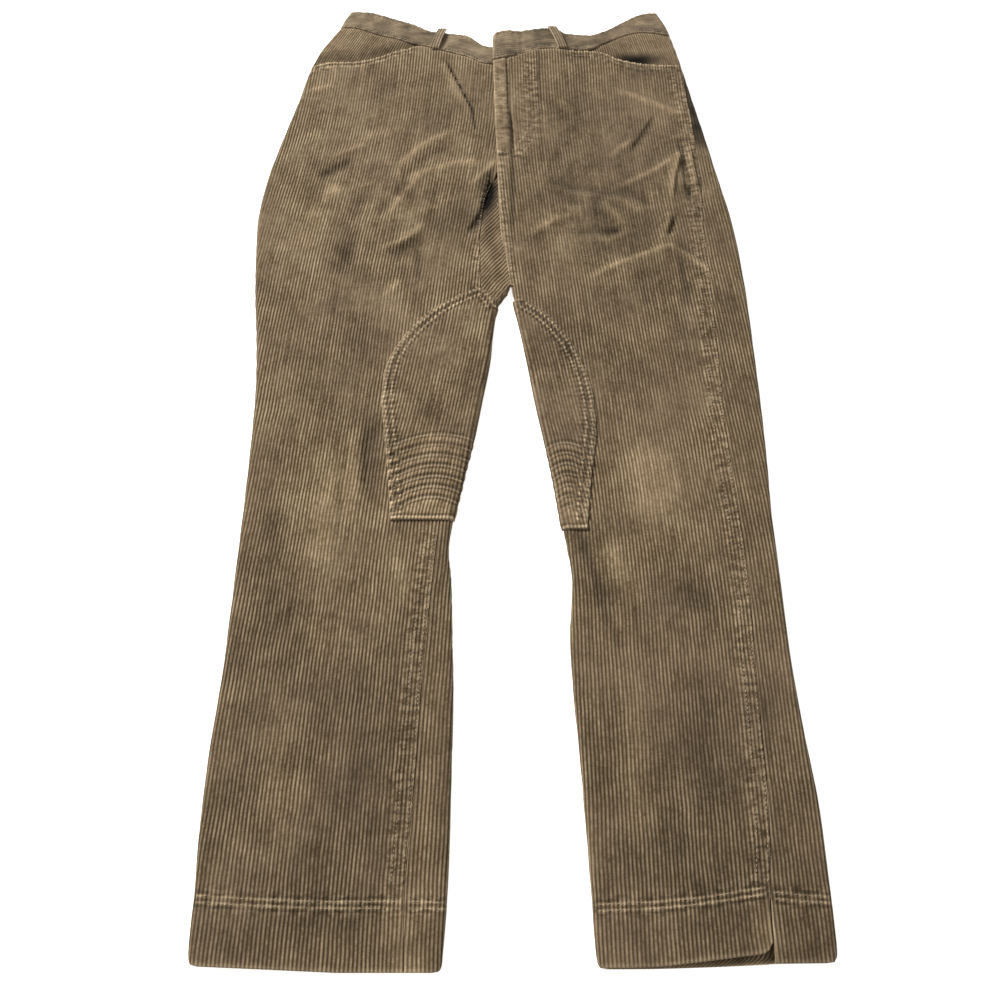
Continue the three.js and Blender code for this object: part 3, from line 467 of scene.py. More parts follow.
def rib(across):
    """A felled seam's flat rib, steep on the front side and faded out past the seam."""
    steep = ease((RIB_WIDE + RIB_STEEP - across) / RIB_STEEP)
    return RIB_RISE * np.where(across < 0, ease(1 + across / RIB_GENTLE), steep)


def right_height(x, y):
    """Top of the right side: creases and the inseam's rib below the patch."""
    return top_layer("right", x, y) + rib(inseam(y) - x) * ease((PATCH_FOOT["right"] - y) / 20)


# The fly: the groove beside its folded strip, its depth and half width, and where the strip is full
FLY_GROOVE = columns("y x", [(802, 16.5), (826, 15.3), (849, 13.6), (878, 10.8), (913, 10), (960, 7.6)])
GROOVE_RISE = -2.2
GROOVE_WIDE = 2.3
FLY_START = 6.0
FLY_FADE = 10.0
LAP_RISE = 3.2
LAP_EDGE = 9.0
LAP_FADE = 8.0
LAP_TALL = 90.0
PLACKET_RISE = 1.3
PLACKET_EDGE = 42.0

# Wrinkles across the strip and slanting ones beside it: height and length, and how uneven they are
STRIP_WRINKLE = (0.55, 9.5, 0.6)
SLANT_WRINKLE = (0.45, 10.0, 0.5)
WRINKLE_LEAN = 0.7
WRINKLE_CELL = 31.0

# Where the left front stands up: the pocket's gape and the corner at the slit
STANDING = columns("x y wide tall amount", [(148, 950, 26, 16, 2.6), (203, 8, 30, 30, 1.6)])

# The shadow on the back beside the left pocket: its tone, its lower and upper end and how softly they fade
HIP_SHADE = -0.47
HIP_SHADE_LOW = (816.0, 8.0)
HIP_SHADE_HIGH = (934.0, 16.0)

fly_groove = curve(FLY_GROOVE, "y", "x")


def hip_shade(x, y):
    """The shadow on the back beside the left pocket, under the front's lifted edge."""
    (low, soft_low), (high, soft_high) = HIP_SHADE_LOW, HIP_SHADE_HIGH
    return HIP_SHADE * ease((y - low) / soft_low) * ease((high - y) / soft_high)


def on_fly(y):
    """1 along the fly, 0 below its foot."""
    return ease((y - FLY_FOOT - FLY_START) / FLY_FADE)


def fly_press(x, y):
    """Flattened wales of the fly's folded strip."""
    return ease((fly_groove(y) - 1 - x) / 3) * on_fly(y)


def wrinkles(kind, way, x, y):
    """A row of wrinkles: a sine of the way along it, made uneven by noise."""
    height, length, uneven = kind
    return height * np.sin(2 * np.pi * (way / length + uneven * cloud(x, y, WRINKLE_CELL, 7)))


def left_height(x, y):
    """Top of the left side: folds, the fly's lap, the gape, the slit's corner and the outseam's rib."""
    lap = LAP_RISE * (1 - ease((x - LAP_EDGE) / LAP_FADE)) * ease((y - LEG_SPLIT) / LAP_TALL)
    placket = PLACKET_RISE * (1 - ease((x - PLACKET_EDGE) / 6)) * ease((y - FLY_FOOT + 8) / 12)
    strip = x - fly_groove(y)
    groove = GROOVE_RISE * np.exp(-((strip / GROOVE_WIDE) ** 2)) * on_fly(y)
    crossing = wrinkles(STRIP_WRINKLE, y, x, y) * ease(-strip / 3)
    beside = ease((strip - 2) / 4) * ease((PLACKET_EDGE - x) / 8)
    slanting = wrinkles(SLANT_WRINKLE, y + WRINKLE_LEAN * x, x, y) * beside
    wrinkled = (crossing + slanting) * on_fly(y)
    seam = rib(outseam(y) - x) * ease((FLY_FOOT - y) / 30)
    fly = np.maximum(lap, placket) + groove + wrinkled
    return top_layer("left", x, y) + fly + spots(STANDING, x, y) + seam


# The crotch cloth: its top under the left front, and where it sinks to it from the left front's edge
TONGUE_LOW = 4.9
SINK_START = 18.0
SINK_WIDE = 14.0
SINK_TALL = 16.0


def tongue_height(x, y):
    """The right side's top, which sinks to a low level where it goes under the left front."""
    across = ease((x - inner["left"](y) + SINK_START) / SINK_WIDE)
    return mix(right_height(x, y), TONGUE_LOW, across * ease((y - LEG_SPLIT) / SINK_TALL))


# Folded cloth
def reach(q):
    """Distance in from a fold's edge after q along the cloth: r(1 - cos(q / r)), then straight."""
    bent = FOLD_REACH * (1 - np.cos(np.minimum(q, QUARTER) / FOLD_REACH))
    return bent + np.maximum(q - QUARTER, 0)


def lift(q):
    """Share of the half thickness reached after q along the cloth: sin(q / r)."""
    return np.sin(np.minimum(q, QUARTER) / FOLD_REACH)


def turn(distance):
    """Length along the cloth for a distance in from the fold's edge, the inverse of reach."""
    bent = FOLD_REACH * np.arccos(np.clip(1 - distance / FOLD_REACH, -1, 1))
    return np.where(distance < FOLD_REACH, bent, QUARTER + distance - FOLD_REACH)


def tube(low, high, s, y, height, middle=FOLD_HALF, low_free=False, high_free=False):
    """A flattened tube: s runs from the fold at low over the top to the fold at high, and back beneath."""
    across = high - low + 2 * EXTRA
    on_top = s <= across
    flat = np.where(on_top, low - EXTRA + s, high + EXTRA + across - s)
    q_low = np.where(low_free, QUARTER, np.clip(flat - low + EXTRA, 0, QUARTER))
    q_high = np.where(high_free, QUARTER, np.clip(high + EXTRA - flat, 0, QUARTER))
    x = np.where(q_low < QUARTER, low + reach(q_low), flat)
    x = np.where(q_high < QUARTER, high - reach(q_high), x)
    up = lift(np.minimum(q_low, q_high))
    beneath = middle * (1 - up) + underside(x, y) * up
    z = np.where(on_top, middle + (height(x, y) - middle) * up, beneath)
    return x, z


def row_level(level, x, hem_at, top_at):
    """Level of a row at x: near the hem and the waist the rows bend with those lines."""
    low = 1 - ease(level / HEM_BENDS_TO)
    high = ease((level - WAIST_BENDS_FROM) / (WAIST_SEAM - WAIST_BENDS_FROM))
    return level + hem_at(x) * low + (top_at(x) - WAIST_SEAM) * high


# Meshes
def shell_triangles(rows, cols, step, first, low_rim, high_rim):
    """Triangles of a closed wall: an outer grid, an inner one with every step-th column, and rims between.

    The outer grid's points come first, then the inner grid's. A rim along a row is a fan from step outer
    edges to one inner edge. low_rim and high_rim are the row from which the first and last column have a rim.
    """
    inner_cols = (cols - 1) // step + 1
    outside = first + np.arange(rows * cols).reshape(rows, cols)
    inside = first + rows * cols + np.arange(rows * inner_cols).reshape(rows, inner_cols)
    faces = []

    def quads(a, b, c, d):
        faces.append(np.stack([a, b, c], -1).reshape(-1, 3))
        faces.append(np.stack([a, c, d], -1).reshape(-1, 3))

    quads(outside[:-1, :-1], outside[:-1, 1:], outside[1:, 1:], outside[1:, :-1])
    quads(inside[:-1, :-1], inside[1:, :-1], inside[1:, 1:], inside[:-1, 1:])
    for column, start, flip in ((0, low_rim, False), (-1, high_rim, True)):
        a, b = outside[start:-1, column], outside[start + 1 :, column]
        c, d = inside[start + 1 :, column], inside[start:-1, column]
        if flip:
            quads(b, a, d, c)
        else:
            quads(a, b, c, d)
    half = step // 2
    for row, flip in ((0, False), (-1, True)):
        near = outside[row, :-1].reshape(-1, step)
        far = outside[row, 1:].reshape(-1, step)
        left = np.repeat(inside[row, :-1, None], step, 1)
        right = np.repeat(inside[row, 1:, None], step, 1)
        apex = np.where(np.arange(step) < half, left, right)
        fan = np.stack([far, near, apex], -1).reshape(-1, 3)
        middle = np.stack([near[:, half], left[:, 0], right[:, 0]], -1)
        both = np.concatenate([fan, middle])
        faces.append(both[:, ::-1] if flip else both)
    return np.concatenate(faces), rows * cols + rows * inner_cols


def make_piece(name, points, triangles, material, marks=None, sharp=50.0):
    """A mesh object at the origin from points in millimetres; points that meet are merged.

    Triangles without area are dropped. marks holds seven numbers a point: wale, place along it and wear,
    then tone, seam and stitch, then matting. Tone holds painted light and shade as well as worn tone, and
    the material paints the stitch's beads as highlights and its lines as shade.
    """
    _keys, index, inverse = np.unique(np.round(points, 3), axis=0, return_index=True, return_inverse=True)
    faces = inverse.reshape(-1)[triangles]
    good = (faces[:, 0] != faces[:, 1]) & (faces[:, 1] != faces[:, 2]) & (faces[:, 0] != faces[:, 2])
    faces = faces[good]
    places = (points[index] + (ZERO_X, ZERO_Y, 0)) * MM
    mesh = bpy.data.meshes.new(name)
    mesh.vertices.add(len(places))
    mesh.vertices.foreach_set("co", places.ravel())
    mesh.loops.add(faces.size)
    mesh.loops.foreach_set("vertex_index", faces.ravel().astype(np.int32))
    mesh.polygons.add(len(faces))
    mesh.polygons.foreach_set("loop_start", np.arange(0, faces.size, 3, dtype=np.int32))
    if marks is not None:
        for layer_name, part in (("cloth", marks[index, :3]), ("marks", marks[index, 3:6])):
            layer = mesh.attributes.new(layer_name, "FLOAT_VECTOR", "POINT")
            layer.data.foreach_set("vector", part.ravel().astype(np.float32))
        layer = mesh.attributes.new("matting", "FLOAT", "POINT")
        layer.data.foreach_set("value", marks[index, 6].astype(np.float32))
    mesh.update(calc_edges=True)
    mesh.validate()
    mesh.shade_smooth()
    mesh.set_sharp_from_angle(angle=math.radians(sharp))
    mesh.materials.append(material)
    piece = bpy.data.objects.new(name, mesh)
    bpy.context.scene.collection.objects.link(piece)
    return piece


# The step by which slopes are measured
SMALL = 0.4


def normals(place, s, y):
    """Outward unit normals of place(s, y), from its steps along s and along y."""
    along = [b - a for a, b in zip(place(s - SMALL, y), place(s + SMALL, y))]
    up = [b - a for a, b in zip(place(s, y - SMALL), place(s, y + SMALL))]
    n = np.cross(np.stack(along, -1), np.stack(up, -1))
    return n / np.maximum(np.linalg.norm(n, axis=-1, keepdims=True), 1e-9)


def rounded(distance, radius):
    """How far an edge is rounded off at a distance from it: r - sqrt(r^2 - (r - d)^2)."""
    inside = np.clip(radius - distance, 0, radius)
    return radius - np.sqrt(np.maximum(radius**2 - inside**2, 0))


def wale_profile(phase):
    """Height of a wale, 0 in the valley and 1 on the crest: |sin(pi * phase)| to the power of WALE_ROUND."""
    return np.abs(np.sin(np.pi * phase)) ** WALE_ROUND


def wale_relief(phase, y, rise):
    """How far the cloth lies below the crests, a little uneven along each wale."""
    return rise * (1 - wale_profile(phase)) * (1 + WALE_UNEVEN * cloud(phase * PITCH, y, WALE_CELL, 3))


def panel_levels(spacing):
    """Rows of a panel: close together at the hem's edge, at its stitching and at the waist."""
    hem = [0, 0.4, 1.0, 1.8, 2.8, 4.4, 8.0, 14, 20, 26, 32, 35]
    stitched = np.arange(36.4, 58, 1.25)
    run = np.linspace(60, LEG_SPLIT, round((LEG_SPLIT - 60) / spacing))
    hip = np.linspace(LEG_SPLIT, WAIST_SEAM - 4, round((WAIST_SEAM - LEG_SPLIT) / spacing))[1:]
    waist = [WAIST_SEAM - 2.0, WAIST_SEAM - 1.0, WAIST_SEAM - 0.4, WAIST_SEAM]
    return np.concatenate([hem, stitched, run, hip, waist])


def marked(*values):
    """The seven numbers of each point side by side."""
    return np.stack(np.broadcast_arrays(*values), -1)


def nearest_run(runs, x, y):
    """Least distance from places to runs, how far along a run that is, and how level it lies there."""
    least = np.full(np.broadcast(x, y).shape, 1e3)
    passed, flat = np.zeros(least.shape), np.zeros(least.shape)
    for run in runs:
        before = 0.0
        for (ax, ay), (bx, by) in zip(run[:-1], run[1:]):
            dx, dy = bx - ax, by - ay
            length = math.hypot(dx, dy)
            t = np.clip(((x - ax) * dx + (y - ay) * dy) / length**2, 0, 1)
            distance = np.hypot(x - ax - t * dx, y - ay - t * dy)
            nearer = distance < least
            least = np.where(nearer, distance, least)
            passed = np.where(nearer, before + t * length, passed)
            flat = np.where(nearer, abs(dx) / length, flat)
            before += length
    return least, passed, flat


# Sewing: half widths of its seam, of a row's beads, painted as highlights, and of the painted shade line
# beside them, and that line's place
SEAM_WIDE = 6.0
BEAD_WIDE = 1.2
LINE_WIDE = 0.8
LINE_OFF = 2.4
RIPPLE_UNEVEN = ((0.6, 25.0, 8),)
SEWING_UNEVEN = ((0.4, 13.0, 31),)


def bell(distance, wide):
    """A soft bump: exp(-(d / w)^2)."""
    return np.exp(-((distance / wide) ** 2))


def sewn_marks(runs, x, y, step=8.2, upright=0.12):
    """Marks of sewing, bells of the distance from its runs: a wide seam, a row's beads (painted highlights),
    painted shade lines beside it.

    Beads and lines are fainter where the run goes with the wales. Ripples are a sine of the way along it.
    """
    distance, passed, flat = nearest_run(runs, x, y)
    clear = mix(upright, 1, flat) * (0.8 + clouds(SEWING_UNEVEN, x, y))
    ripples = np.sin(2 * np.pi * (passed / step + clouds(RIPPLE_UNEVEN, x, y)))
    beads = clear * bell(distance, BEAD_WIDE)
    return bell(distance, SEAM_WIDE), beads, clear * bell(distance - LINE_OFF, LINE_WIDE), ripples


class Block:
    """One run of wales of a panel: where its points lie, its ends, its levels, and which rows have a rim.

    line is where wale 0 lies; slant changes the wales, press flattens them and shade darkens them.
    """

    def __init__(self, side, place, ends, level_at, levels, rims=(0, 0), line=None, **changes):
        self.side = side
        self.place = place
        self.ends = ends
        self.level_at = level_at
        self.levels = levels
        self.rims = rims
        self.line = line or (lambda y: wale_line(side, y))
        self.slant = changes.get("slant", lambda x, y, phase: phase)
        self.press = changes.get("press", lambda x, y: 0 * x)
        self.shade = changes.get("shade", lambda x, y: 0 * x)

    def grid(self):
        """Columns fixed on the wales: s = wale line + number * pitch + wobble, kept between the ends."""
        low_edge = {"right": outer["right"], "left": inner["left"]}[self.side]
        sample = self.levels[:, None]
        low, high = self.ends(sample)
        start = self.line(sample) - low_edge(sample) + EXTRA
        first = math.floor(((low - start) / PITCH).min() / 2) * 2 - 2
        last = math.ceil(((high - start) / PITCH).max() / 2) * 2 + 2
        number = np.arange(first * WALE_COLUMNS, last * WALE_COLUMNS + 1) / WALE_COLUMNS

        def spread(y):
            low, high = self.ends(y)
            start = self.line(y) - low_edge(y) + EXTRA
            s = np.clip(start + number * PITCH + clouds(WALE_WOBBLE, number * PITCH, y), low, high)
            phase = (s - start - clouds(WALE_WOBBLE, s - start, y)) / PITCH
            return s, phase, np.minimum(s - low, high - s)

        y = np.repeat(sample, len(number), 1)
        for _ in range(8):
            x = self.place(spread(y)[0], y)[0]
            y = self.level_at(self.levels[:, None], x)
        s, phase, edge = spread(y)
        return s, y, phase, edge


# The folded dart of the right front
DART = np.array([(-61, 950), (-45, 910), (-31, 875), (-27, 846)], float)

# The level from which cloth counts as on top, and how flat pressing makes its wales
TOP_FROM = 2.5
PRESSED_FLAT = 0.8

# Relief of the sewing, and how the cloth's edges are rounded off at the seams and at both ends
DART_WIDE = 1.2
# The dart's depth also sets the painted shade in its crease
DART_DEEP = 1.4
STITCH_RISE = 0.25
RIPPLE_RISE = 0.3
SEAM_ROUND = 0.7
END_ROUND = 1.1

# Tone: painted light and shade across the creases, wear and painted highlight on their ridges, lighter
# pressed pile, and painted shade of the sewing's ripples
CREASE_LIGHT_AND_SHADE = 0.10
RIDGE_WEAR_AND_HIGHLIGHT = 0.05
PRESS_TONE = 0.1
PUCKER_SHADE = 0.09
MOST_MATTED = 0.9

# Where the edges are worn: within this of the fly's middle, and past this at the slit of the left hem
FLY_WEAR = 14.0
SLIT_FROM = 190.0
SIDE_WEAR = 1.8
END_WEAR = 2.2


def edge_wear(x, y, edge, ends):
    """Wear at a panel's edges: slight along seams, full at the fly, the slit, the hem and the scoops."""
    at_fly = ease((FLY_WEAR - np.abs(x)) / 4) * ease((y - LEG_SPLIT) / 20)
    at_slit = ease((HEM_DEPTH - y) / 4) * (x > SLIT_FROM)
    sides = (0.3 + 0.7 * np.maximum(at_fly, at_slit)) * np.exp(-edge / SIDE_WEAR)
    return np.maximum(sides, bell(ends, END_WEAR))


def wall_arrays(block, outside, inside, data, first=0):
    """Points, marks and triangles of one closed wall whose inner grid has every INNER_STEP-th column."""
    rows, cols = outside.shape[:2]
    tris, count = shell_triangles(rows, cols, INNER_STEP, first, *block.rims)
    points = np.concatenate([outside.reshape(-1, 3), inside.reshape(-1, 3)])
    marks = np.concatenate([data.reshape(-1, 7), data[:, ::INNER_STEP].reshape(-1, 7)])
    return points, marks, tris, count


def panel(name, blocks, material, wall_at, runs=()):
    """A corduroy panel from its blocks: wales on the outer side, a plain inner side, closed all round."""
    walls, first = [], 0
    for block in blocks:
        s, y, phase, edge = block.grid()
        base = np.stack(block.place(s, y), -1)
        n = normals(block.place, s, y)
        x, z = base[..., 0], base[..., 2]
        phase = block.slant(x, y, phase)
        press = block.press(x, y)
        level = block.levels[:, None]
        ends = np.minimum(level - block.levels[0], block.levels[-1] - level)
        on_top = ease((z - TOP_FROM) / 2)
        seam, beads, lines, ripples = sewn_marks(runs, x, y)
        tucked = bell(nearest_run([DART], x, y)[0], DART_WIDE)
        # stitch: the beads, painted as highlights, less the lines beside the rows and the dart's crease,
        # painted as shade; it also sets the relief
        seam, stitch = on_top * seam, on_top * (beads - lines - DART_DEEP * tucked)
        relief = wale_relief(phase, y, WALE_RISE) * (1 - PRESSED_FLAT * press)
        relief = relief - STITCH_RISE * stitch + RIPPLE_RISE * seam * ripples
        shift = relief + np.maximum(rounded(edge, SEAM_ROUND), rounded(ends, END_ROUND))
        outside = base - n * shift[..., None]
        inside = (base - n * wall_at(y)[..., None])[:, ::INNER_STEP]
        creased = folds(block.side, x, y)
        ridges = np.maximum(creased, 0)
        # Painted light and shade: darker crease troughs and pit, lighter ridges, shaded puckers and the hip's
        # shadow, with worn spots and pressed pile
        tone = spots(SHADE_LIGHT_AND_WEAR_SPOTS, x, y) + CREASE_LIGHT_AND_SHADE * creased + RIDGE_WEAR_AND_HIGHLIGHT * ridges + PRESS_TONE * press
        tone = tone - PUCKER_SHADE * seam * ripples + block.shade(x, y)
        matting = np.clip(PRESSED_FLAT * press + 0.2 * ridges + spots(MATTED, x, y), 0, MOST_MATTED)
        wear = edge_wear(x, y, edge, ends)
        data = marked(phase, y / PITCH, wear, on_top * tone, np.maximum(seam, 0.7 * press), stitch, matting)
        *wall, count = wall_arrays(block, outside, inside, data, first)
        walls.append(wall)
        first += count
    points, marks, faces = (np.concatenate(parts) for parts in zip(*walls))
    return make_piece(name, points, faces, material, marks)


def cloth_wall(y):
    """Thickness of a leg's cloth: thicker in the turned-up hem."""
    return mix(HEM_WALL, WALL, ease((y - HEM_DEPTH) / 12 + 0.5))


# The four panels: the fly's extension, the slit's gap, and how far the crotch cloth goes under
FLY_EXTENSION = 12.0
SLIT_GAP = 0.7
TUCKED_UNDER = 6.0


def right_place(height, high_free=False):
    """Points of the right leg's tube."""

    def place(s, y):
        free = high_free & (y > LEG_SPLIT)
        x, z = tube(outer["right"](y), inner["right"](y), s, y, height, high_free=free)
        return x, y, z

    return place


def leg_edges(side, y):
    """The left and right folds of a leg, as seen from above."""
    return (outer[side](y), inner[side](y)) if side == "right" else (inner[side](y), outer[side](y))


def tongue_edge(y):
    """The crotch cloth's hidden edge, under the left front above the split."""
    hidden = np.maximum(inner["right"](y), inner["left"](y) + TUCKED_UNDER)
    return np.where(y > LEG_SPLIT, hidden, inner["right"](y))


def tongue_place(s, y):
    """Points of the right leg's tube, and of the crotch cloth that runs on flat above the split."""
    x, z = tube(outer["right"](y), tongue_edge(y), s, y, tongue_height, high_free=y > LEG_SPLIT)
    return x, y, z


def front_right_place(s, y):
    """The right leg's tube, which runs on flat under the fly above the split."""
    free = y > LEG_SPLIT
    high = np.where(free, inseam(y) + FLY_EXTENSION, inner["right"](y))
    x, z = tube(outer["right"](y), high, s, y, right_height, high_free=free)
    return x, y, z


def left_place(s, y):
    """Points of the left leg's tube, whose inner edge is free above the split."""
    x, z = tube(inner["left"](y), outer["left"](y), s, y, left_height, low_free=y > LEG_SPLIT)
    return x, y, z


def right_across(y):
    """Length over the top of the right leg from fold to fold."""
    return inner["right"](y) - outer["right"](y) + 2 * EXTRA


def left_across(y):
    """Length over the top of the left leg from fold to fold."""
    return outer["left"](y) - inner["left"](y) + 2 * EXTRA


def front_right_ends(y):
    """From the side fold to the inseam and the fly."""
    return 0 * y + SEAM_GAP / 2, inseam(y) - SEAM_GAP / 2 - outer["right"](y) + EXTRA


def outseam_turn(y):
    """Length along the cloth from the left side fold up to the outseam."""
    return turn(np.maximum(outer["left"](y) - outseam(y), 2.5))


def front_left_ends(y):
    """From the inner fold, or above the split the free edge, to the outseam, with the slit at the hem."""
    slit = SLIT_GAP * (1 - ease((y - HEM_DEPTH + 4) / 4))
    low = np.where(y > LEG_SPLIT, EXTRA, SEAM_GAP / 2)
    return low, left_across(y) - outseam_turn(y) - SEAM_GAP / 2 - slit


def back_left_ends(y):
    """From the outseam round the side fold and beneath to the inner fold or the centre back."""
    across = left_across(y)
    centre = across + outer["left"](y) + EXTRA - centre_back(y) - SEAM_GAP / 2
    high = np.where(y > LEG_SPLIT, centre, 2 * across - SEAM_GAP / 2)
    return across - outseam_turn(y) + SEAM_GAP / 2, high


def back_right_top_ends(y):
    """From the inseam to the inner fold, or above the split to the crotch cloth's edge."""
    low = inseam(y) + SEAM_GAP / 2 - outer["right"](y) + EXTRA
    high = tongue_edge(y) - outer["right"](y) + np.where(y > LEG_SPLIT, EXTRA, 2 * EXTRA)
    return low, np.maximum(high, low + 0.5)


def back_right_under_ends(y):
    """From the inner fold or the centre back, beneath, to the side fold."""
    across = right_across(y)
    centre = across + inner["right"](y) + EXTRA - centre_back(y) + SEAM_GAP / 2
    return np.where(y > LEG_SPLIT, centre, across), 2 * across - SEAM_GAP / 2


def rows_at(hem, top):
    """Level of a row at a place across, between a hem line and an upper end."""
    return lambda level, x: row_level(level, x, hem_line[hem], top)


# The crotch cloth's slanting wales: their lean, and the level from which they show above the patch
TONGUE_LEAN = math.radians(55)
TONGUE_FROM = 590.0


def tongue_phase(x, y, phase):
    """The crotch cloth's wales, cut from the back, which slant above the patch's upper corner.

    At the inner fold below the split they stay as they are, to meet the cloth beneath.
    """
    slanted = (y * math.cos(TONGUE_LEAN) - x * math.sin(TONGUE_LEAN)) / PITCH
    at_fold = (y <= LEG_SPLIT) & (x > inner["right"](y) - 1)
    return np.where((y > TONGUE_FROM) & ~at_fold, slanted, phase)


# Distance between rows of the fronts, the backs and the crotch cloth
FINE_ROWS = 3.4
COARSE_ROWS = 8.0
TONGUE_ROWS = 1.3


def build_panels(material, runs):
    """The two fronts and the two backs."""
    fine = panel_levels(FINE_ROWS)
    coarse = panel_levels(COARSE_ROWS)
    split = int(np.searchsorted(coarse, LEG_SPLIT))
    above = np.arange(LEG_SPLIT + TONGUE_ROWS, TONGUE_TOP + 4, TONGUE_ROWS)
    tongue = np.concatenate([coarse[: split + 1], above])
    wrapped = right_place(tongue_height, high_free=True)

    def no_limit(x):
        return 0 * x + WAIST_SEAM

    hem_right = rows_at("right", front_top("right"))
    hem_left = rows_at("left_front", front_top("left"))
    under_left = rows_at("left", back_top("left"))
    under_right = rows_at("right", back_top("right"))
    crotch = rows_at("right", no_limit)
    rims_below = {"rims": (0, split), "slant": tongue_phase}
    blocks = {
        "front_right": [Block("right", front_right_place, front_right_ends, hem_right, fine)],
        "front_left": [Block("left", left_place, front_left_ends, hem_left, fine, press=fly_press)],
        "back_left": [Block("left", left_place, back_left_ends, under_left, coarse, shade=hip_shade)],
        "back_right": [
            Block("right", tongue_place, back_right_top_ends, crotch, tongue, **rims_below),
            Block("right", wrapped, back_right_under_ends, under_right, coarse, rims=(split, 0)),
        ],
    }
    return {
        name: panel(name + "_cloth", parts, material, cloth_wall, runs.get(name, ()))
        for name, parts in blocks.items()
    }


# A plain grid piece: place(u, v) over stops in u and v
def grid_piece(name, place, u, v, wall, material, marks_at, step=4, relief=None, radius=0.8):
    """A closed wall over a grid: outer points less relief, inner points moved back by the wall."""
    uu, vv = np.meshgrid(u, v)
    base = np.stack(place(uu, vv), -1)
    pad_u = np.concatenate([[2 * u[0] - u[1]], u, [2 * u[-1] - u[-2]]])
    pad_v = np.concatenate([[2 * v[0] - v[1]], v, [2 * v[-1] - v[-2]]])
    wide = np.stack(place(*np.meshgrid(pad_u, pad_v)), -1)
    n = np.cross(wide[1:-1, 2:] - wide[1:-1, :-2], wide[2:, 1:-1] - wide[:-2, 1:-1])
    n = n / np.maximum(np.linalg.norm(n, axis=-1, keepdims=True), 1e-9)
    du = np.linalg.norm(base[:, 1:] - base[:, :-1], axis=-1)
    dv = np.linalg.norm(base[1:] - base[:-1], axis=-1)
    from_u = np.concatenate([0 * du[:, :1], np.cumsum(du, 1)], 1)
    from_v = np.concatenate([0 * dv[:1], np.cumsum(dv, 0)], 0)
    edge = np.minimum(from_u, from_u[:, -1:] - from_u)
    edge = np.minimum(edge, np.minimum(from_v, from_v[-1:] - from_v))
    shift = rounded(edge, radius)
    if relief is not None:
        shift = shift + relief(uu, vv, base)
    outside = base - n * shift[..., None]
    inside = (base - n * wall)[:, ::step]
    data = marks_at(uu, vv, base, edge)
    tris, _count = shell_triangles(len(v), len(u), step, 0, 0, 0)
    points = np.concatenate([outside.reshape(-1, 3), inside.reshape(-1, 3)])
    marks = np.concatenate([data.reshape(-1, 7), data[:, ::step].reshape(-1, 7)])
    return make_piece(name, points, tris, material, marks)


def even_stops(low, high, spacing, step):
    """Even stops whose number of gaps is a multiple of step."""
    gaps = max(step, math.ceil((high - low) / spacing / step) * step)
    return np.linspace(low, high, gaps + 1)


# Waistband: height of its fold's middle, its wales and their height, its sewn rows and its free ends
BAND_TURN = 4.4
BAND_WALES = 12
BAND_RELIEF = 0.4
BAND_ROW = 0.09
BAND_END = {"right": 4.0, "left": -8.6}
BAND_LEVEL = 1010.0
BAND_STEP = 2.4
BAND_MATTED = 0.5
BAND_OVER = 0.6
BAND_LAP = (3.4, 8.0, 14.0)

# The small seam across the left band; there is none on the right
BAND_SEAM = {"right": -300.0, "left": 24.0}
JOIN_WIDE = 1.6
JOIN_DEEP = 0.7


def band_height(side, x, y):
    """Top of the waistband: it stands over the panels, and the left end laps over the right."""
    rise, start, wide = BAND_LAP
    lap = rise * (1 - ease((x - start) / wide)) if side == "left" else 0
    return loft(y) + BAND_OVER + lap


def band_lengths(side):
    """Lengths along the cloth from the side fold to the end on top and to the centre back beneath."""
    side_x = float(outer[side](np.array(BAND_LEVEL)))
    on_top = abs(BAND_END[side] - side_x) - FOLD_REACH + QUARTER
    beneath = abs(side_x) - SEAM_GAP / 2 - FOLD_REACH + QUARTER
    return on_top, beneath


def band_place(side):
    """Points of a waistband half: s from the side fold, over 0 on top; v from the lower to the upper edge."""
    inward = 1 if side == "right" else -1
    edges = band_edge[side]
    on_top, beneath = band_lengths(side)

    def place(u, v):
        s = u if side == "right" else -u
        q = np.abs(s)
        total = np.where(s > 0, on_top, beneath)
        end = np.where(s > 0, BAND_END[side], -inward * SEAM_GAP / 2)
        share = (q - QUARTER) / (total - QUARTER)
        y = np.full(u.shape, BAND_LEVEL)
        for _ in range(8):
            fold = outer[side](y)
            straight = mix(fold + inward * FOLD_REACH, end, share)
            x = np.where(q < QUARTER, fold + inward * reach(q), straight)
            y_top = mix(edges["low"](x), edges["top"](x), v)
            y_under = mix(edges["low_back"](x), edges["top_back"](x), v)
            y = np.where(s > 0, y_top, y_under)
        up = lift(q)
        top = BAND_TURN + (band_height(side, x, y) - BAND_TURN) * up
        return x, y, np.where(s >= 0, top, BAND_TURN * (1 - up))

    return place


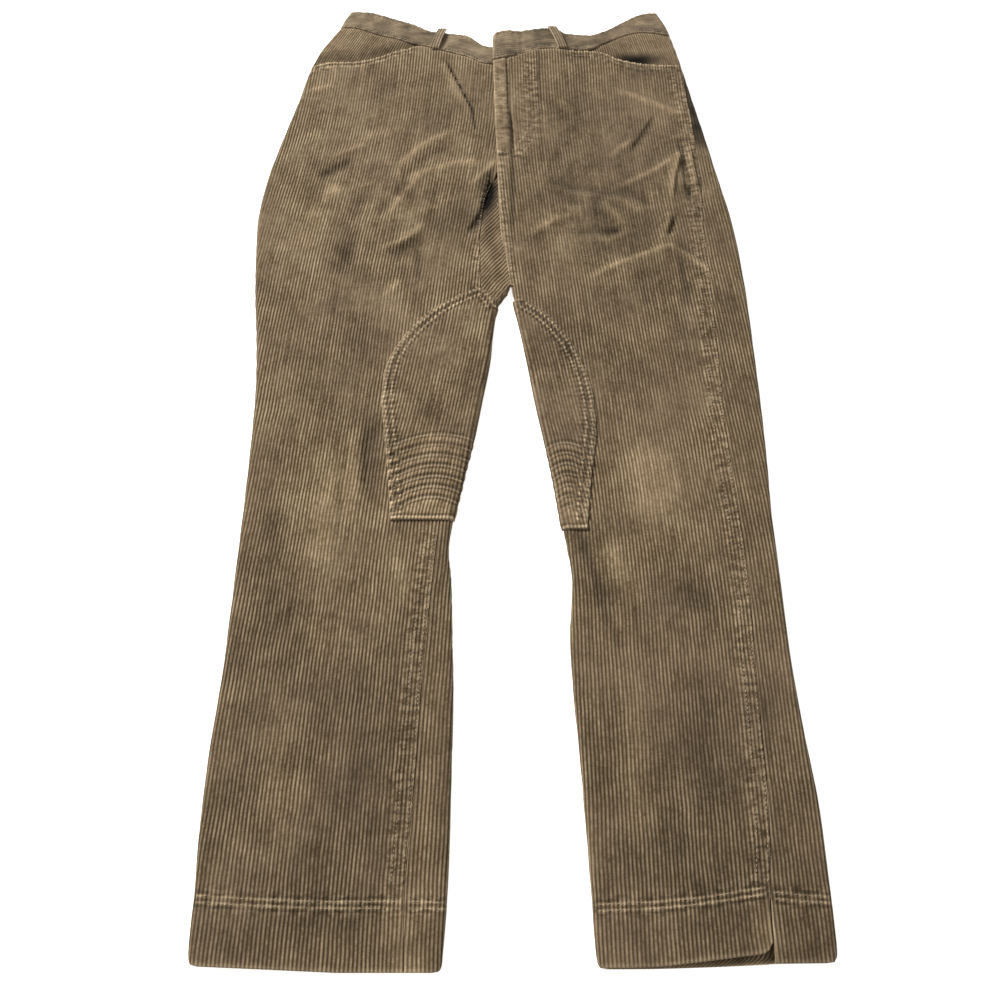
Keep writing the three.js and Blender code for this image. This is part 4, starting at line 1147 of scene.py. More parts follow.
def build_band(side, material):
    """One half of the waistband; its wales run along it, and it is sewn along both edges."""
    on_top, beneath = band_lengths(side)
    stops = even_stops(-beneath, on_top, BAND_STEP, 4)
    u = stops if side == "right" else -stops[::-1]
    v = np.linspace(0, 1, BAND_WALES * 4 + 1)

    def joined(base):
        """The small seam across the band."""
        return bell(base[..., 0] - BAND_SEAM[side], JOIN_WIDE)

    def marks_at(uu, vv, base, edge):
        from_edge = np.minimum(vv, 1 - vv)
        groove = 0.6 * bell(from_edge - BAND_ROW, 0.035) + joined(base)
        x, y = base[..., 0], base[..., 1]
        tone = clouds(BAND_CLOUDS, x, y) + clouds(BAND_STREAKS, x, 2 * y) - 0.05 * (x > 40)
        wear = np.exp(-edge / 1.6)
        return marked(vv * BAND_WALES, uu / PITCH, wear, tone, bell(from_edge, 0.16), -groove, BAND_MATTED)

    def relief(uu, vv, base):
        ripple = np.sin(2 * np.pi * (uu / 9 + 0.6 * cloud(uu, 30 * vv, 23.0, 12)))
        puckers = RIPPLE_RISE * bell(np.minimum(vv, 1 - vv), 0.2) * ripple
        return BAND_RELIEF * (1 - wale_profile(vv * BAND_WALES)) + puckers + JOIN_DEEP * joined(base)

    name = f"waistband_{side}_cloth"
    return grid_piece(name, band_place(side), u, v, BAND_WALL, material, marks_at, relief=relief)


# Pocket facings: how far they go under the front, their wales and lean, and where they end at the waistband
FACING_TUCK = 14.0
FACING_PITCH = 2.6
FACING_RELIEF = 0.5
FACING_LEAN = {"right": 24.0, "left": -14.0}
FACING_STEP = 0.62
FACING_END = {"right": -101.0, "left": 107.0}

# How deep the facings lie under their fronts' tops, and how much deeper the left one lies in the gape
FACING_DIP = 2.5
FACING_LOW = 4.5
FACING_TURN = 4.0
OPENING = columns("x y wide tall amount", [(148, 952, 26, 18, 3.8)])

# The painted shadow in the gape: its darkness, its place over the scoop's edge, and its half width and height
GAPE_SHADOW = -0.66
HOLE_PLACE = (149.0, 7.0)
HOLE_SIZE = (27.0, 12.0)


def facing_place(side):
    """Points of a facing: s in from the side fold, v from its tucked edge to the waistband seam."""
    inward = 1 if side == "right" else -1
    height = right_height if side == "right" else left_height

    def place(u, v):
        s = np.maximum(u if side == "right" else -u, SEAM_GAP)
        y = np.full(u.shape, 960.0)
        for _ in range(8):
            start = SEAM_GAP if side == "right" else outseam_turn(y) + 2 * SEAM_GAP
            q = s + start - SEAM_GAP
            x = outer[side](y) + inward * reach(q)
            lip = front_top(side)(x)
            top = np.maximum(band_edge[side]["low"](x) - BAND_GAP, lip + 2.4)
            y = mix(lip - FACING_TUCK, top, v)
        dip = FACING_DIP * (1 - ease((y - front_top(side)(x) - 0.8) / FACING_TUCK))
        opening = spots(OPENING, x, y) if side == "left" else 0
        z = np.maximum(height(x, y) - (dip + opening) * ease((q - start) / 5), FACING_LOW)
        return x, y, FACING_TURN + (z - FACING_TURN) * lift(q)

    return place


def build_facing(side, material):
    """A pocket facing, whose wales slant."""
    side_x = float(outer[side](np.array(965.0)))
    length = abs(FACING_END[side] - side_x) - FOLD_REACH + QUARTER
    stops = even_stops(SEAM_GAP, length, FACING_STEP, 4)
    u = stops if side == "right" else -stops[::-1]
    v = np.linspace(0, 1, 45)
    slant = math.radians(FACING_LEAN[side])

    def phase(base):
        return (base[..., 0] * math.cos(slant) - base[..., 1] * math.sin(slant)) / FACING_PITCH

    def tone(x, over):
        """On the left the painted shadow in the gape, exp(-r^3) of a leaning oval; on the right a soft
        painted shade near the lip.
        """
        if side == "right":
            return 0.06 - 0.16 * ease((20 - over) / 4)
        (centre, above), (wide, tall) = HOLE_PLACE, HOLE_SIZE
        hole = ((x - centre - over) / wide) ** 2 + ((over - above) / tall) ** 2
        return GAPE_SHADOW * np.exp(-hole * np.sqrt(hole))

    def marks_at(uu, vv, base, edge):
        x, y = base[..., 0], base[..., 1]
        shade = tone(x, y - front_top(side)(x))
        return marked(phase(base), y / PITCH, 0.3 * np.exp(-edge / 3), shade, 0.0, 0.0, 0.0)

    def relief(uu, vv, base):
        return FACING_RELIEF * (1 - wale_profile(phase(base)))

    name = f"pocket_facing_{side}_cloth"
    return grid_piece(name, facing_place(side), u, v, WALL, material, marks_at, relief=relief)


# Knee patches: padded rows at the foot, wales along the inner fold, two sewn rows beside the curved edge
QUILT_ROWS = 7
QUILT_STEP = 10.9
QUILT_FIRST = 7.8
QUILT_ARCH = 15.0
PATCH_WALE = {"right": (-42.0, 0.165), "left": (55.5, -0.17)}
PATCH_ROWS = (3.2, 9.5)
PATCH_RELIEF = 0.5
PATCH_ROUND = 1.0
PATCH_STITCH = 0.3
PATCH_RIPPLE = 0.32
PATCH_PUCKER = 5.0
RIPPLE_SHADE = 0.2
EDGE_TONE = 0.15
# How strongly the painted shade lines beside the padded rows' sewing are drawn
QUILT_LINE = 2.0
QUILT_POWER = 0.7
CORNER_FROM = 598.0
QUILT_RISE = 1.7
# How strongly the padded rows are painted lighter on top and shaded between them
QUILT_SHADE = 0.55
QUILT_MIDDLE = 0.45
PATCH_CLOUDS = ((0.06, 24.0, 13),)
PATCH_TONE = {"right": 0.0, "left": -0.13}
PATCH_MATTED = 0.15
PATCH_TONES = columns(
    "x y wide tall amount",
    [
        (-40, 600, 26, 10, 0.08), (-75, 540, 20, 20, -0.08), (-62, 500, 16, 26, 0.08),
        (-50, 455, 16, 20, -0.10), (-66, 455, 12, 14, 0.14), (-70, 392, 30, 20, 0.06),
        (52, 540, 12, 20, 0.05), (66, 500, 14, 20, -0.05), (70, 452, 20, 14, -0.06),
        (70, 375, 20, 14, 0.12),
    ],
)


def quilt_arch(side, x, y):
    """How far the padded rows arch up at a place: a sine over the patch's width, less near its foot."""
    front = patch_edge[side](y)
    across = np.clip((x - front) / (inner[side](y) - front), 0, 1)
    return QUILT_ARCH * np.sin(0.8 * np.pi * across) * ease((y - PATCH_FOOT[side] + 3) / 20)


def quilt_height(side, x, y):
    """Padded rows across the foot of a patch: |sin| ridges between the sewn lines."""
    level = y - PATCH_FOOT[side] - quilt_arch(side, x, y)
    row = (level - QUILT_FIRST) / QUILT_STEP + 1
    share = ease((QUILT_ROWS + 0.2 - row) / 0.3) * (0.2 + 0.8 * ease(np.abs(inner[side](y) - x) / 8))
    return share * (np.abs(np.sin(np.pi * row)) ** QUILT_POWER - QUILT_MIDDLE)


def patch_outline(side):
    """The curved edge of a patch from its foot up, and over the right one's upper corner."""
    y = PATCH_FRONT["y"]
    points = np.stack([PATCH_FRONT[side], y], -1)[(y >= PATCH_FOOT[side] - 10) & (y <= PATCH_TOP[side])]
    if side == "left":
        return points
    corner = np.stack([PATCH_CORNER["x"], PATCH_CORNER["y"]], -1)[-2:0:-1]
    return np.concatenate([points, corner])


def set_off(points, distance):
    """A run moved to its right by a distance, square to its own direction."""
    step = np.gradient(points, axis=0)
    step = step / np.linalg.norm(step, axis=1, keepdims=True)
    return points + distance * np.stack([step[:, 1], -step[:, 0]], -1)


def patch_runs(side):
    """Sewing of a patch: two rows beside the curved edge and the rows across the foot."""
    inward = 1 if side == "right" else -1
    runs = [set_off(patch_outline(side), inward * off) for off in PATCH_ROWS]
    for row in range(QUILT_ROWS):
        t = np.linspace(0.06, 1, 25)
        start = PATCH_FOOT[side] + QUILT_FIRST + row * QUILT_STEP
        y = start + 0 * t
        for _ in range(6):
            x = mix(patch_edge[side](y), inner[side](y) - inward * 1.6, t)
            y = start + quilt_arch(side, x, y)
        runs.append(np.stack([x, y], -1))
    foot = PATCH_FOOT[side] + 2.4
    ends = (patch_edge[side](foot) + inward * 2, inner[side](foot) - inward * 2)
    runs.append(np.array([(float(x), foot) for x in ends]))
    return runs


def patch_block(side):
    """A knee patch's cloth over its panel: from its curved front edge to the inner fold."""
    height = {"right": right_height, "left": left_height}[side]
    at_foot, lean = PATCH_WALE[side]

    def place(s, y):
        low, high = leg_edges(side, y)
        x, z = tube(low, high, s, y, height)
        return x, y, z

    def ends(y):
        edge = patch_edge[side](y)
        if side == "right":
            across = right_across(y)
            low = np.minimum(edge - outer["right"](y) + EXTRA, across - 8)
            corner = np.where(y > CORNER_FROM, patch_corner(y) - outer["right"](y) + EXTRA, across)
            return low, np.maximum(np.minimum(across - SEAM_GAP, corner), low + 0.5)
        return 0 * y + SEAM_GAP, np.maximum(edge - inner["left"](y) + EXTRA, 8)

    def line(y):
        return at_foot + lean * (y - PATCH_FOOT["right"])

    foot, top = PATCH_FOOT[side], PATCH_TOP[side]
    quilt_end = foot + QUILT_FIRST + QUILT_ROWS * QUILT_STEP + QUILT_ARCH
    quilted = np.arange(foot + 2.4, quilt_end, 1.3)
    plain = np.linspace(foot + 101, top - 3, 100)
    levels = np.concatenate([[foot, foot + 0.5, foot + 1.2], quilted, plain, [top - 1.5, top - 0.6, top]])
    return Block(side, place, ends, lambda level, x: level + 0 * x, levels, line=line)


def patch_out(side, x, y):
    """Height of a patch's outer side over its panel."""
    return LIE_GAP + PATCH_WALL + QUILT_RISE * quilt_height(side, x, y)


def build_patch(side, material, runs):
    """A knee patch: quilted at its foot and moved out from the panel that it is sewn on."""
    block = patch_block(side)
    s, y, phase, edge = block.grid()
    base = np.stack(block.place(s, y), -1)
    n = normals(block.place, s, y)
    x = base[..., 0]
    level = block.levels[:, None]
    ends = np.minimum(level - block.levels[0], block.levels[-1] - level)
    near = np.where(np.abs(inner[side](y) - x) < 8, ends, np.minimum(edge, ends))
    seam, beads, lines, ripples = sewn_marks(runs[:2], x, y, PATCH_PUCKER, 1.0)
    _seam, row_beads, row_lines, _ripples = sewn_marks(runs[2:], x, y)
    beads = beads * (0.55 - 0.45 * ripples)
    stitch = np.maximum(beads, row_beads) - np.maximum(lines, QUILT_LINE * row_lines)
    relief = wale_relief(phase, y, PATCH_RELIEF) - PATCH_STITCH * stitch + PATCH_RIPPLE * seam * ripples
    out = patch_out(side, x, y) - relief - rounded(near, PATCH_ROUND)
    outside = base + n * out[..., None]
    inside = (base + n * LIE_GAP)[:, ::INNER_STEP]
    # Tone: spots, painted light and shade of the padded rows, cloudy tone, painted shade of the puckers, pale
    # worn edges and a tone for each patch
    tone = spots(PATCH_TONES, x, y) + QUILT_SHADE * quilt_height(side, x, y) + clouds(PATCH_CLOUDS, x, y)
    tone = tone - RIPPLE_SHADE * seam * ripples + EDGE_TONE * bell(near, 1.5) + PATCH_TONE[side]
    data = marked(phase, y / PITCH, bell(near, 2), tone, 0.5 * seam, stitch, PATCH_MATTED)
    points, marks, tris, _count = wall_arrays(block, outside, inside, data)
    return make_piece(f"knee_patch_{side}_cloth", points, tris, material, marks)


# Belt loops: width, rise of the bow, height of the wales, and the two rows of sewing along them
LOOP_WIDE = 10.0
LOOP_BOW = 2.4
LOOP_RELIEF = 0.4
LOOP_ROW = 3.2
LOOP_ENDS = {
    "right": (-76.0, 969.0, -67.0, 1002.0),
    "left": (73.0, 970.0, 61.0, 1006.0),
}


def build_loop(side, material):
    """A belt loop: a strip tacked at both ends of the waistband and bowed clear of it."""
    low_x, low_y, top_x, top_y = LOOP_ENDS[side]
    seat = LIE_GAP + max(float(band_height(side, low_x, low_y)), float(band_height(side, top_x, top_y)))

    def place(u, v):
        x = mix(low_x, top_x, v) + u
        y = mix(low_y, top_y, v)
        bow = LOOP_BOW * np.sin(np.pi * np.clip(v, 0, 1)) ** 0.7
        return x, y + 0 * u, seat + LOOP_WALL + bow + 0 * u

    def groove(across):
        return bell(np.abs(across) - LOOP_ROW, 0.8)

    def marks_at(uu, vv, base, edge):
        wear = np.exp(-edge / 1.3)
        return marked(uu / PITCH, base[..., 1] / PITCH, wear, 0.0, 0.3, -0.7 * groove(uu), 0.2)

    def relief(uu, vv, base):
        return LOOP_RELIEF * (1 - wale_profile(uu / PITCH)) + 0.3 * groove(uu)

    u = np.linspace(-LOOP_WIDE / 2, LOOP_WIDE / 2, 25)
    v = np.linspace(0, 1, 37)
    return grid_piece(f"belt_loop_{side}_cloth", place, u, v, LOOP_WALL, material, marks_at, relief=relief)


# Sewing
HEM_RUNS = {
    "front_right": [(-230, 53.0), (-190, 50.6), (-136, 48.6), (-76, 48.6)],
    "back_right": [(-68, 48.6), (-43, 48.0)],
    "front_left": [(74, 46.8), (115, 48.3), (153, 51.6), (201, 58.5)],
    "back_left": [(209, 55.3), (230, 53.3), (249, 52.3)],
}
HEM_ROWS = (0.0, -4.6)
FLY_OUTER_RUN = [
    (37.9, 951.6), (39.3, 912.8), (41, 859.3), (39.6, 838.5),
    (34.2, 821.9), (25.6, 808), (10.5, 805), (-2, 806.7),
]
FLY_INNER_RUN = [(29.9, 946), (30.9, 912.8), (31.4, 859.3), (30.1, 841.1), (25.8, 828.2), (20, 821.9)]
SEAM_ROWS = (-2.2, -10.8)
SCOOP_ROWS = {"right": (-1.6, -6.8), "left": (-1.6, -8.6)}
SCOOP_ENDS = {"right": (-217, -104), "left": (80, 204)}
STITCH_STEP = 3.6
STITCH_LONG = 2.7
STITCH_THICK = 0.42
STITCH_SINK = 0.1


def level_run(line, low, high, off):
    """A run beside a line that is a function of level."""
    y = np.linspace(low, high, max(3, int((high - low) / 12)))
    return np.stack([line(y) + off, y], -1)


def across_run(line, low, high, off):
    """A run below or above a line that is a function of the place across."""
    x = np.linspace(low, high, max(3, int(abs(high - low) / 6)))
    return np.stack([x, line(x) + off], -1)


def sewing_runs():
    """The sewn lines of each panel, as runs of points."""
    runs = {
        node: [np.array(points, float) + (0, row) for row in HEM_ROWS] for node, points in HEM_RUNS.items()
    }
    runs["front_right"] += [level_run(inseam, 62, 352, row) for row in SEAM_ROWS]
    runs["front_right"] += [level_run(inseam, 632, 770, SEAM_ROWS[0])]
    runs["front_left"] += [level_run(outseam, 62, 925, row) for row in SEAM_ROWS]
    runs["front_left"] += [level_run(inner["left"], 634, 796, 2.6)]
    for side, offsets in SCOOP_ROWS.items():
        start, end = SCOOP_ENDS[side]
        runs[f"front_{side}"] += [across_run(front_top(side), start, end, off) for off in offsets]
    runs["front_left"] += [np.array(points, float) for points in (FLY_OUTER_RUN, FLY_INNER_RUN)]
    return runs


# A stitch's ring of four points
RING = ((1.0, 0.0), (0.0, 1.0), (-1.0, 0.0), (0.0, -1.0))


def thread(name, tracks, material):
    """Stitches along tracks of 3-D points, each a spindle: two rings of four points between two ends."""
    starts, ends = [], []
    for track in tracks:
        length = np.concatenate([[0], np.cumsum(np.linalg.norm(np.diff(track, axis=0), axis=1))])
        centres = np.arange(STITCH_STEP / 2, length[-1] - STITCH_LONG / 2, STITCH_STEP)
        for sign, found in ((-1, starts), (1, ends)):
            at = centres + sign * STITCH_LONG / 2
            found.append(np.stack([np.interp(at, length, track[:, k]) for k in range(3)], -1))
    a, b = np.concatenate(starts), np.concatenate(ends)
    run = (b - a) / np.linalg.norm(b - a, axis=1, keepdims=True)
    side = np.cross(run, (0.0, 0.0, 1.0))
    side = side / np.maximum(np.linalg.norm(side, axis=1, keepdims=True), 1e-9)
    up = np.cross(side, run)
    ring = [mix(a, b, t) + STITCH_THICK * (side * c + up * d) for t in (0.22, 0.78) for c, d in RING]
    points = np.stack([a - 0.3 * up, *ring, b - 0.3 * up], 1)
    faces = []
    for k in range(4):
        after = (k + 1) % 4
        faces += [(0, 1 + k, 1 + after), (9, 5 + after, 5 + k)]
        faces += [(1 + after, 1 + k, 5 + k), (1 + after, 5 + k, 5 + after)]
    triangles = (np.arange(len(a))[:, None, None] * 10 + np.array(faces)[None]).reshape(-1, 3)
    return make_piece(name, points.reshape(-1, 3), triangles, material, sharp=180.0)


def dense(run, spacing=1.5):
    """A run with points close together."""
    length = np.concatenate([[0], np.cumsum(np.linalg.norm(np.diff(run, axis=0), axis=1))])
    at = np.linspace(0, length[-1], max(2, int(length[-1] / spacing)))
    return np.interp(at, length, run[:, 0]), np.interp(at, length, run[:, 1])


def laid_run(side, place, run, out):
    """A run laid on a leg: its length along the cloth is found, then moved out by out(x, y) square to it."""
    x, y = dense(run)
    low, high = leg_edges(side, y)
    across = high - low + 2 * EXTRA
    open_low = (side == "left") & (y > LEG_SPLIT)
    open_high = (side == "right") & (y > LEG_SPLIT)
    from_low = np.where(open_low, x - low + EXTRA, turn(x - low))
    from_high = np.where(open_high, across - EXTRA - (high - x), across - turn(high - x))
    s = np.where(x - low < high - x, from_low, from_high)
    base = np.stack(place(s, y), -1)
    return base + normals(place, s, y) * out(x, y)[:, None]


def build_threads(runs, patches, material):
    """The sewing of each panel, patch and waistband half."""
    made = {}
    places = {"front_right": front_right_place, "back_right": right_place(right_height)}
    for node, lines in runs.items():
        side = node.split("_")[1]
        place = places.get(node, left_place)
        tracks = [laid_run(side, place, line, lambda x, y: 0 * x - STITCH_SINK) for line in lines]
        made[node] = thread(f"{node}_stitches", tracks, material)
    for side, lines in patches.items():
        place = patch_block(side).place

        def over(x, y, side=side):
            return patch_out(side, x, y) - STITCH_SINK

        tracks = [laid_run(side, place, line, over) for line in lines]
        made[f"knee_patch_{side}"] = thread(f"knee_patch_{side}_stitches", tracks, material)
    for side in ("right", "left"):
        on_top, _beneath = band_lengths(side)
        sign = 1 if side == "right" else -1
        u = sign * np.linspace(2, on_top - 2, int(on_top / 2))
        tracks = [np.stack(band_place(side)(u, 0 * u + v), -1) for v in (BAND_ROW, 1 - BAND_ROW)]
        made[f"waistband_{side}"] = thread(f"waistband_{side}_stitches", tracks, material)
    return made


# Materials
class Value:
    """A number in a shader: arithmetic on it adds Math nodes."""

    def __init__(self, shader, socket):
        self.shader = shader
        self.socket = socket

    def __add__(self, other):
        return self.shader.math("ADD", self, other)

    def __radd__(self, other):
        return self.shader.math("ADD", other, self)

    def __sub__(self, other):
        return self.shader.math("SUBTRACT", self, other)

    def __rsub__(self, other):
        return self.shader.math("SUBTRACT", other, self)

    def __mul__(self, other):
        return self.shader.math("MULTIPLY", self, other)

    def __rmul__(self, other):
        return self.shader.math("MULTIPLY", other, self)

    def __truediv__(self, other):
        return self.shader.math("DIVIDE", self, other)

    def fraction(self):
        return self.shader.math("FRACT", self)

    def whole(self):
        return self.shader.math("FLOOR", self)

    def size(self):
        return self.shader.math("ABSOLUTE", self)

    def clamped(self):
        return self.shader.math("MAXIMUM", self.shader.math("MINIMUM", self, 1.0), 0.0)

    def smooth(self, low, high):
        """0 below low, 1 above high, smooth between."""
        t = ((self - low) / (high - low)).clamped()
        return t * t * (3 - 2 * t)


class Shader:
    """A material and its node tree."""

    def __init__(self, name):
        self.material = bpy.data.materials.new(name)
        self.material.use_nodes = True
        self.tree = self.material.node_tree
        self.surface = self.tree.nodes["Principled BSDF"]

    def node(self, kind, settings=None, sockets=None, output=0):
        """Adds a node: its settings first, then values or links of its sockets; gives one output."""
        made = self.tree.nodes.new(kind)
        for key, value in (settings or {}).items():
            setattr(made, key, value)
        for key, value in (sockets or {}).items():
            self.join(made.inputs[key], value)
        return made.outputs[output]

    def join(self, socket, value):
        """Links a socket or sets its value."""
        if isinstance(value, Value):
            value = value.socket
        if isinstance(value, bpy.types.NodeSocket):
            self.tree.links.new(value, socket)
        else:
            socket.default_value = value

    def math(self, operation, *values):
        sockets = dict(enumerate(values))
        return Value(self, self.node("ShaderNodeMath", {"operation": operation}, sockets))

    def split(self, vector):
        """The three numbers of a vector."""
        made = self.node("ShaderNodeSeparateXYZ", None, {0: vector}).node
        return [Value(self, out) for out in made.outputs]

    def joined(self, x, y, z=0.0):
        """A vector of three numbers."""
        return self.node("ShaderNodeCombineXYZ", None, {0: x, 1: y, 2: z})

    def noise(self, vector, scale, detail=3.0, roughness=0.55):
        """Cloudy noise from 0 to 1."""
        sockets = {"Vector": vector, "Scale": scale, "Detail": detail, "Roughness": roughness}
        return Value(self, self.node("ShaderNodeTexNoise", None, sockets))

    def blend(self, share, first, second):
        """Mixes two colours."""
        settings = {"data_type": "RGBA"}
        sockets = {0: share, 6: first, 7: second}
        return self.node("ShaderNodeMix", settings, sockets, 2)


def colour(r, g, b):
    """A colour given in linear light."""
    return (r, g, b, 1.0)


# Scales of the cloth's noises, from broad clouds to single fibres
BROAD, MATTED_SCALE, MOTTLED, PATCHY, FINE = 9.0, 17.0, 21.0, 45.0, 520.0

# Sheen of the pile
SHEEN = 0.2
SHEEN_ROUGH = 0.4
SHEEN_TINT = (0.9, 0.78, 0.6, 1.0)


def cloth_material(name, crest, valley, worn_and_highlight, rosy, crown=(0.16, 0.95), strength=1.0):
    """Corduroy: speckled crests over dark valleys, wales of uneven tone, cloudy wear, sewing, pale edges; the
    tone mark, the beads, the lines and the seams' puckers are painted light and shade.
    """
    shader = Shader(name)
    cloth = shader.node("ShaderNodeAttribute", {"attribute_name": "cloth"}, None, 1)
    marks = shader.node("ShaderNodeAttribute", {"attribute_name": "marks"}, None, 1)
    number, along, wear = shader.split(cloth)
    tone, seam, stitch = shader.split(marks)
    bead_highlight, line = stitch.clamped(), (0 - stitch).clamped()
    matting = Value(shader, shader.node("ShaderNodeAttribute", {"attribute_name": "matting"}, None, 2))
    place = shader.node("ShaderNodeTexCoord", None, None, 3)
    wale = number.whole()
    ridge = 1 - (2 * number.fraction() - 1).size()
    upper = shader.split(place)[1].smooth(-0.15, 0.2)
    matted = shader.noise(place, MATTED_SCALE, 3.0).smooth(0.47, 0.68) * (0.25 + 0.5 * upper)
    matted = (matting + matted * (1 - matting)).clamped()
    top = ridge.smooth(*crown) * (1 - matted) + 0.5 * matted
    broad = shader.noise(place, BROAD, 3.0) - 0.5
    patchy = shader.noise(place, PATCHY, 4.0) - 0.5
    mottled = shader.noise(place, MOTTLED, 2.0) - 0.5
    fine = shader.noise(place, FINE, 3.0) - 0.5
    strand = shader.noise(shader.joined(wale * 3.7, along * 0.05), 1.0, 3.0) - 0.5
    fleck = shader.noise(shader.joined(wale * 5.3, along * 0.5), 1.0, 4.0, 0.7) - 0.5
    tuft = shader.noise(shader.joined(number * 3.0, along * 2.6), 1.3, 3.0) - 0.5
    # Seam puckers: painted light and shade, and a bump, rippling along the seams
    ripple = shader.noise(shader.joined(number * 0.3, along * 0.62), 1.0, 1.0)
    ripple = ripple.smooth(0.4, 0.6) - 0.45
    crest_light = 0.58 + strength * (strand * 1.15 + fleck * 1.6 + patchy * 0.8 + tuft * 0.7)
    light = top * crest_light + fine * 0.3 + seam * ripple * (0.15 + 0.4 * top)
    base = shader.blend(light.clamped(), valley, crest)
    base = shader.blend((broad * 2.6 + 0.15).clamped() * 0.45, base, rosy)
    # Wear at the edges, with painted highlights on the puckers' tops and on the beads
    wear_and_highlight = wear * (0.75 + 1.0 * patchy) * (0.45 + 0.55 * top) + seam * ripple.clamped() * 0.18 * top
    wear_and_highlight = (wear_and_highlight + bead_highlight * (0.2 + 0.8 * top)).clamped()
    base = shader.blend(wear_and_highlight * 0.85, base, worn_and_highlight)
    # Brightness: the tone mark's painted light and shade and worn tone, cloudy tone, painted shade lines at
    # the sewing and painted highlights on the beads
    level = (1 + tone * 1.5 + broad * 0.35 + mottled * 0.4 + patchy * 0.5) * (1 - 0.45 * line + 0.2 * bead_highlight)
    base = shader.node("ShaderNodeVectorMath", {"operation": "SCALE"}, {0: base, 3: level})
    shader.join(shader.surface.inputs["Base Color"], base)
    shader.join(shader.surface.inputs["Roughness"], 0.95 - 0.12 * top)
    height = tuft * 0.6 + fine * 0.6 + seam * ripple * 1.6
    bump = shader.node("ShaderNodeBump", None, {"Strength": 0.4, "Distance": 0.0007, "Height": height})
    shader.join(shader.surface.inputs["Normal"], bump)
    shader.surface.inputs["Sheen Weight"].default_value = SHEEN
    shader.surface.inputs["Sheen Roughness"].default_value = SHEEN_ROUGH
    shader.surface.inputs["Sheen Tint"].default_value = SHEEN_TINT
    shader.surface.inputs["Specular IOR Level"].default_value = 0.15
    return shader.material


def thread_material(name, pale, dark):
    """Twisted thread: cloudy tone from stitch to stitch and a fine twist."""
    shader = Shader(name)
    place = shader.node("ShaderNodeTexCoord", None, None, 3)
    tone = shader.noise(place, 260.0, 2.0).smooth(0.35, 0.65)
    shader.join(shader.surface.inputs["Base Color"], shader.blend(tone, dark, pale))
    bump_height = shader.noise(place, 2600.0, 2.0)
    bump = shader.node("ShaderNodeBump", None, {"Strength": 0.3, "Distance": 0.0002, "Height": bump_height})
    shader.join(shader.surface.inputs["Normal"], bump)
    shader.surface.inputs["Roughness"].default_value = 0.8
    return shader.material


def floor_material(shade, glow):
    """Plain pale floor with a faint glow."""
    shader = Shader("floor_paint")
    shader.surface.inputs["Base Color"].default_value = colour(shade, shade, shade)
    shader.surface.inputs["Roughness"].default_value = 0.9
    shader.surface.inputs["Emission Color"].default_value = colour(1, 1, 1)
    shader.surface.inputs["Emission Strength"].default_value = glow
    return shader.material


# Camera, light and floor
def build_camera():
    """The camera at the foot end, tilted from straight down."""
    data = bpy.data.cameras.new("camera")
    data.sensor_width = 36.0
    data.lens = LENS
    camera = bpy.data.objects.new("camera", data)
    camera.location = [value * MM for value in CAMERA_PLACE]
    camera.rotation_euler = (math.radians(CAMERA_TILT), 0, 0)
    bpy.context.scene.collection.objects.link(camera)
    bpy.context.scene.camera = camera


def area_light(name, place, size, power):
    """A square soft light turned towards the middle of the garment."""
    data = bpy.data.lights.new(name, "AREA")
    data.size = size
    data.energy = power
    lamp = bpy.data.objects.new(name, data)
    lamp.location = place
    x, y, z = place
    lamp.rotation_euler = (math.atan2(math.hypot(x, y), z), 0, math.atan2(x, -y))
    bpy.context.scene.collection.objects.link(lamp)


# Floor: half its side in metres, its shade and its glow
FLOOR_HALF = 6.0
FLOOR_SHADE = 0.86
FLOOR_GLOW = 0.75

# Lights: place, side and power, in metres and watts
KEY = ((-2.6, 2.1, 2.5), 1.1, 260)
FILL = ((1.2, -0.6, 1.8), 2.0, 6)
WORLD_LIGHT = 0.3


def build_stage():
    """A pale floor, a soft key light, a weak fill light and a pale world."""
    mesh = bpy.data.meshes.new("floor")
    corners = [(x * FLOOR_HALF, y * FLOOR_HALF, 0) for x, y in ((-1, -1), (1, -1), (1, 1), (-1, 1))]
    mesh.from_pydata(corners, [], [(0, 1, 2, 3)])
    mesh.materials.append(floor_material(FLOOR_SHADE, FLOOR_GLOW))
    floor = bpy.data.objects.new("floor", mesh)
    bpy.context.scene.collection.objects.link(floor)
    area_light("key", *KEY)
    area_light("fill", *FILL)
    world = bpy.data.worlds.new("world")
    world.use_nodes = True
    world.node_tree.nodes["Background"].inputs[0].default_value = (1, 1, 1, 1)
    world.node_tree.nodes["Background"].inputs[1].default_value = WORLD_LIGHT
    bpy.context.scene.world = world
    bpy.context.scene.view_settings.view_transform = "Standard"


build_camera()
build_stage()

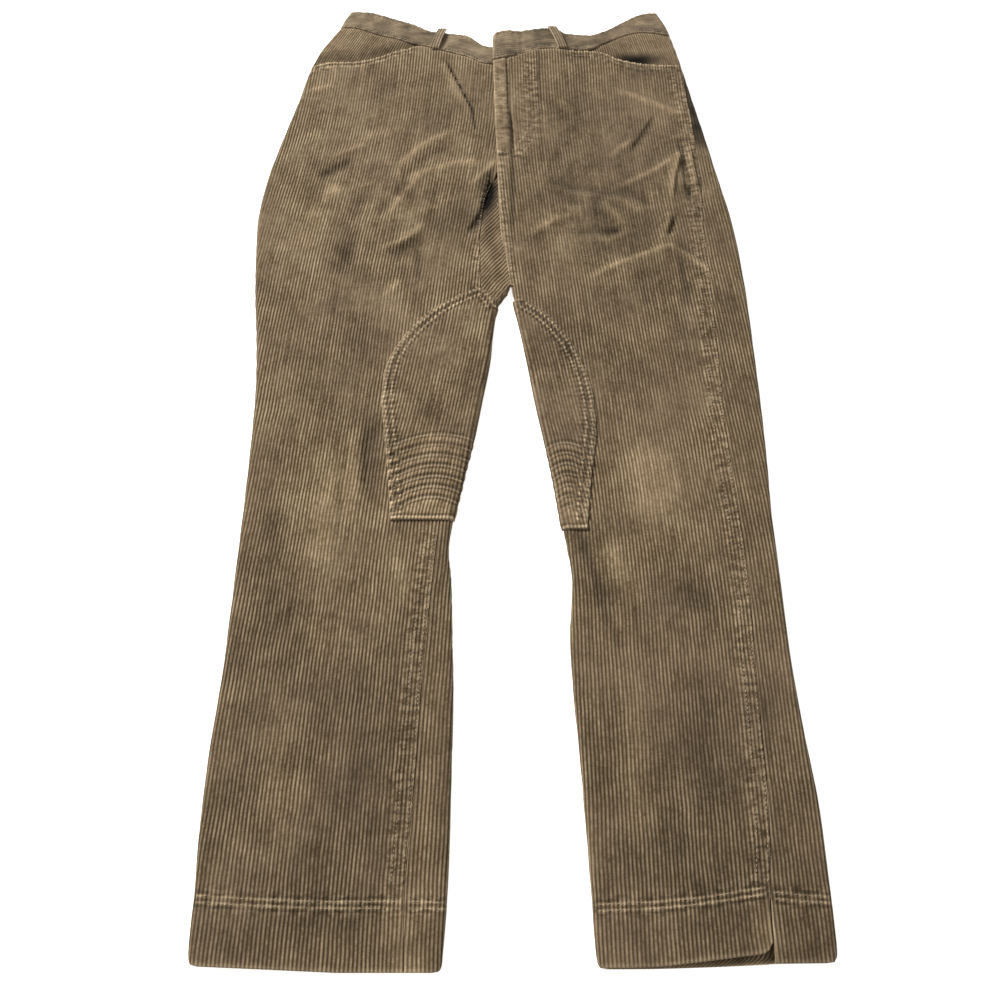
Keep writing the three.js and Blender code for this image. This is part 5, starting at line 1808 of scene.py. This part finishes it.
corduroy = cloth_material(
    "corduroy",
    colour(0.392, 0.297, 0.186),
    colour(0.072, 0.046, 0.020),
    colour(0.50, 0.375, 0.23),
    colour(0.17, 0.115, 0.075),
)
band_cloth = cloth_material(
    "band_cloth",
    colour(0.37, 0.285, 0.185),
    colour(0.10, 0.072, 0.042),
    colour(0.52, 0.40, 0.26),
    colour(0.22, 0.16, 0.11),
    crown=(0.0, 0.8),
    strength=0.8,
)
patch_cloth = cloth_material(
    "patch_cloth",
    colour(0.44, 0.330, 0.205),
    colour(0.064, 0.040, 0.017),
    colour(0.54, 0.41, 0.26),
    colour(0.18, 0.12, 0.08),
)
sewing_thread = thread_material("thread", colour(0.42, 0.325, 0.21), colour(0.17, 0.12, 0.07))

sewn = sewing_runs()
patch_sewn = {side: patch_runs(side) for side in ("right", "left")}
pieces = build_panels(corduroy, sewn)
for side in ("right", "left"):
    pieces[f"waistband_{side}"] = build_band(side, band_cloth)
    pieces[f"pocket_facing_{side}"] = build_facing(side, corduroy)
    pieces[f"knee_patch_{side}"] = build_patch(side, patch_cloth, patch_sewn[side])
    pieces[f"belt_loop_{side}"] = build_loop(side, band_cloth)
threads = build_threads(sewn, patch_sewn, sewing_thread)

# Cut of each piece: width, length and flat area in metres
CUTS = {
    "front_right": (0.26, 0.98, 0.216, "corduroy"),
    "front_left": (0.25, 0.98, 0.185, "corduroy"),
    "back_right": (0.29, 1.0, 0.245, "corduroy"),
    "back_left": (0.29, 1.0, 0.245, "corduroy"),
    "waistband_right": (0.40, 0.038, 0.0135, "band"),
    "waistband_left": (0.42, 0.038, 0.0145, "band"),
    "pocket_facing_right": (0.12, 0.07, 0.0055, "corduroy"),
    "pocket_facing_left": (0.11, 0.07, 0.0048, "corduroy"),
    "knee_patch_right": (0.10, 0.26, 0.0195, "patch"),
    "knee_patch_left": (0.06, 0.255, 0.011, "patch"),
    "belt_loop_right": (0.01, 0.036, 0.00036, "band"),
    "belt_loop_left": (0.01, 0.04, 0.0004, "band"),
}
for node, (width, length, area, slot) in CUTS.items():
    piece = pieces[node]
    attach(piece, "root")
    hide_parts(node)
    sewing = [threads[node]] if node in threads else []
    for stitches in sewing:
        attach(stitches, "root")
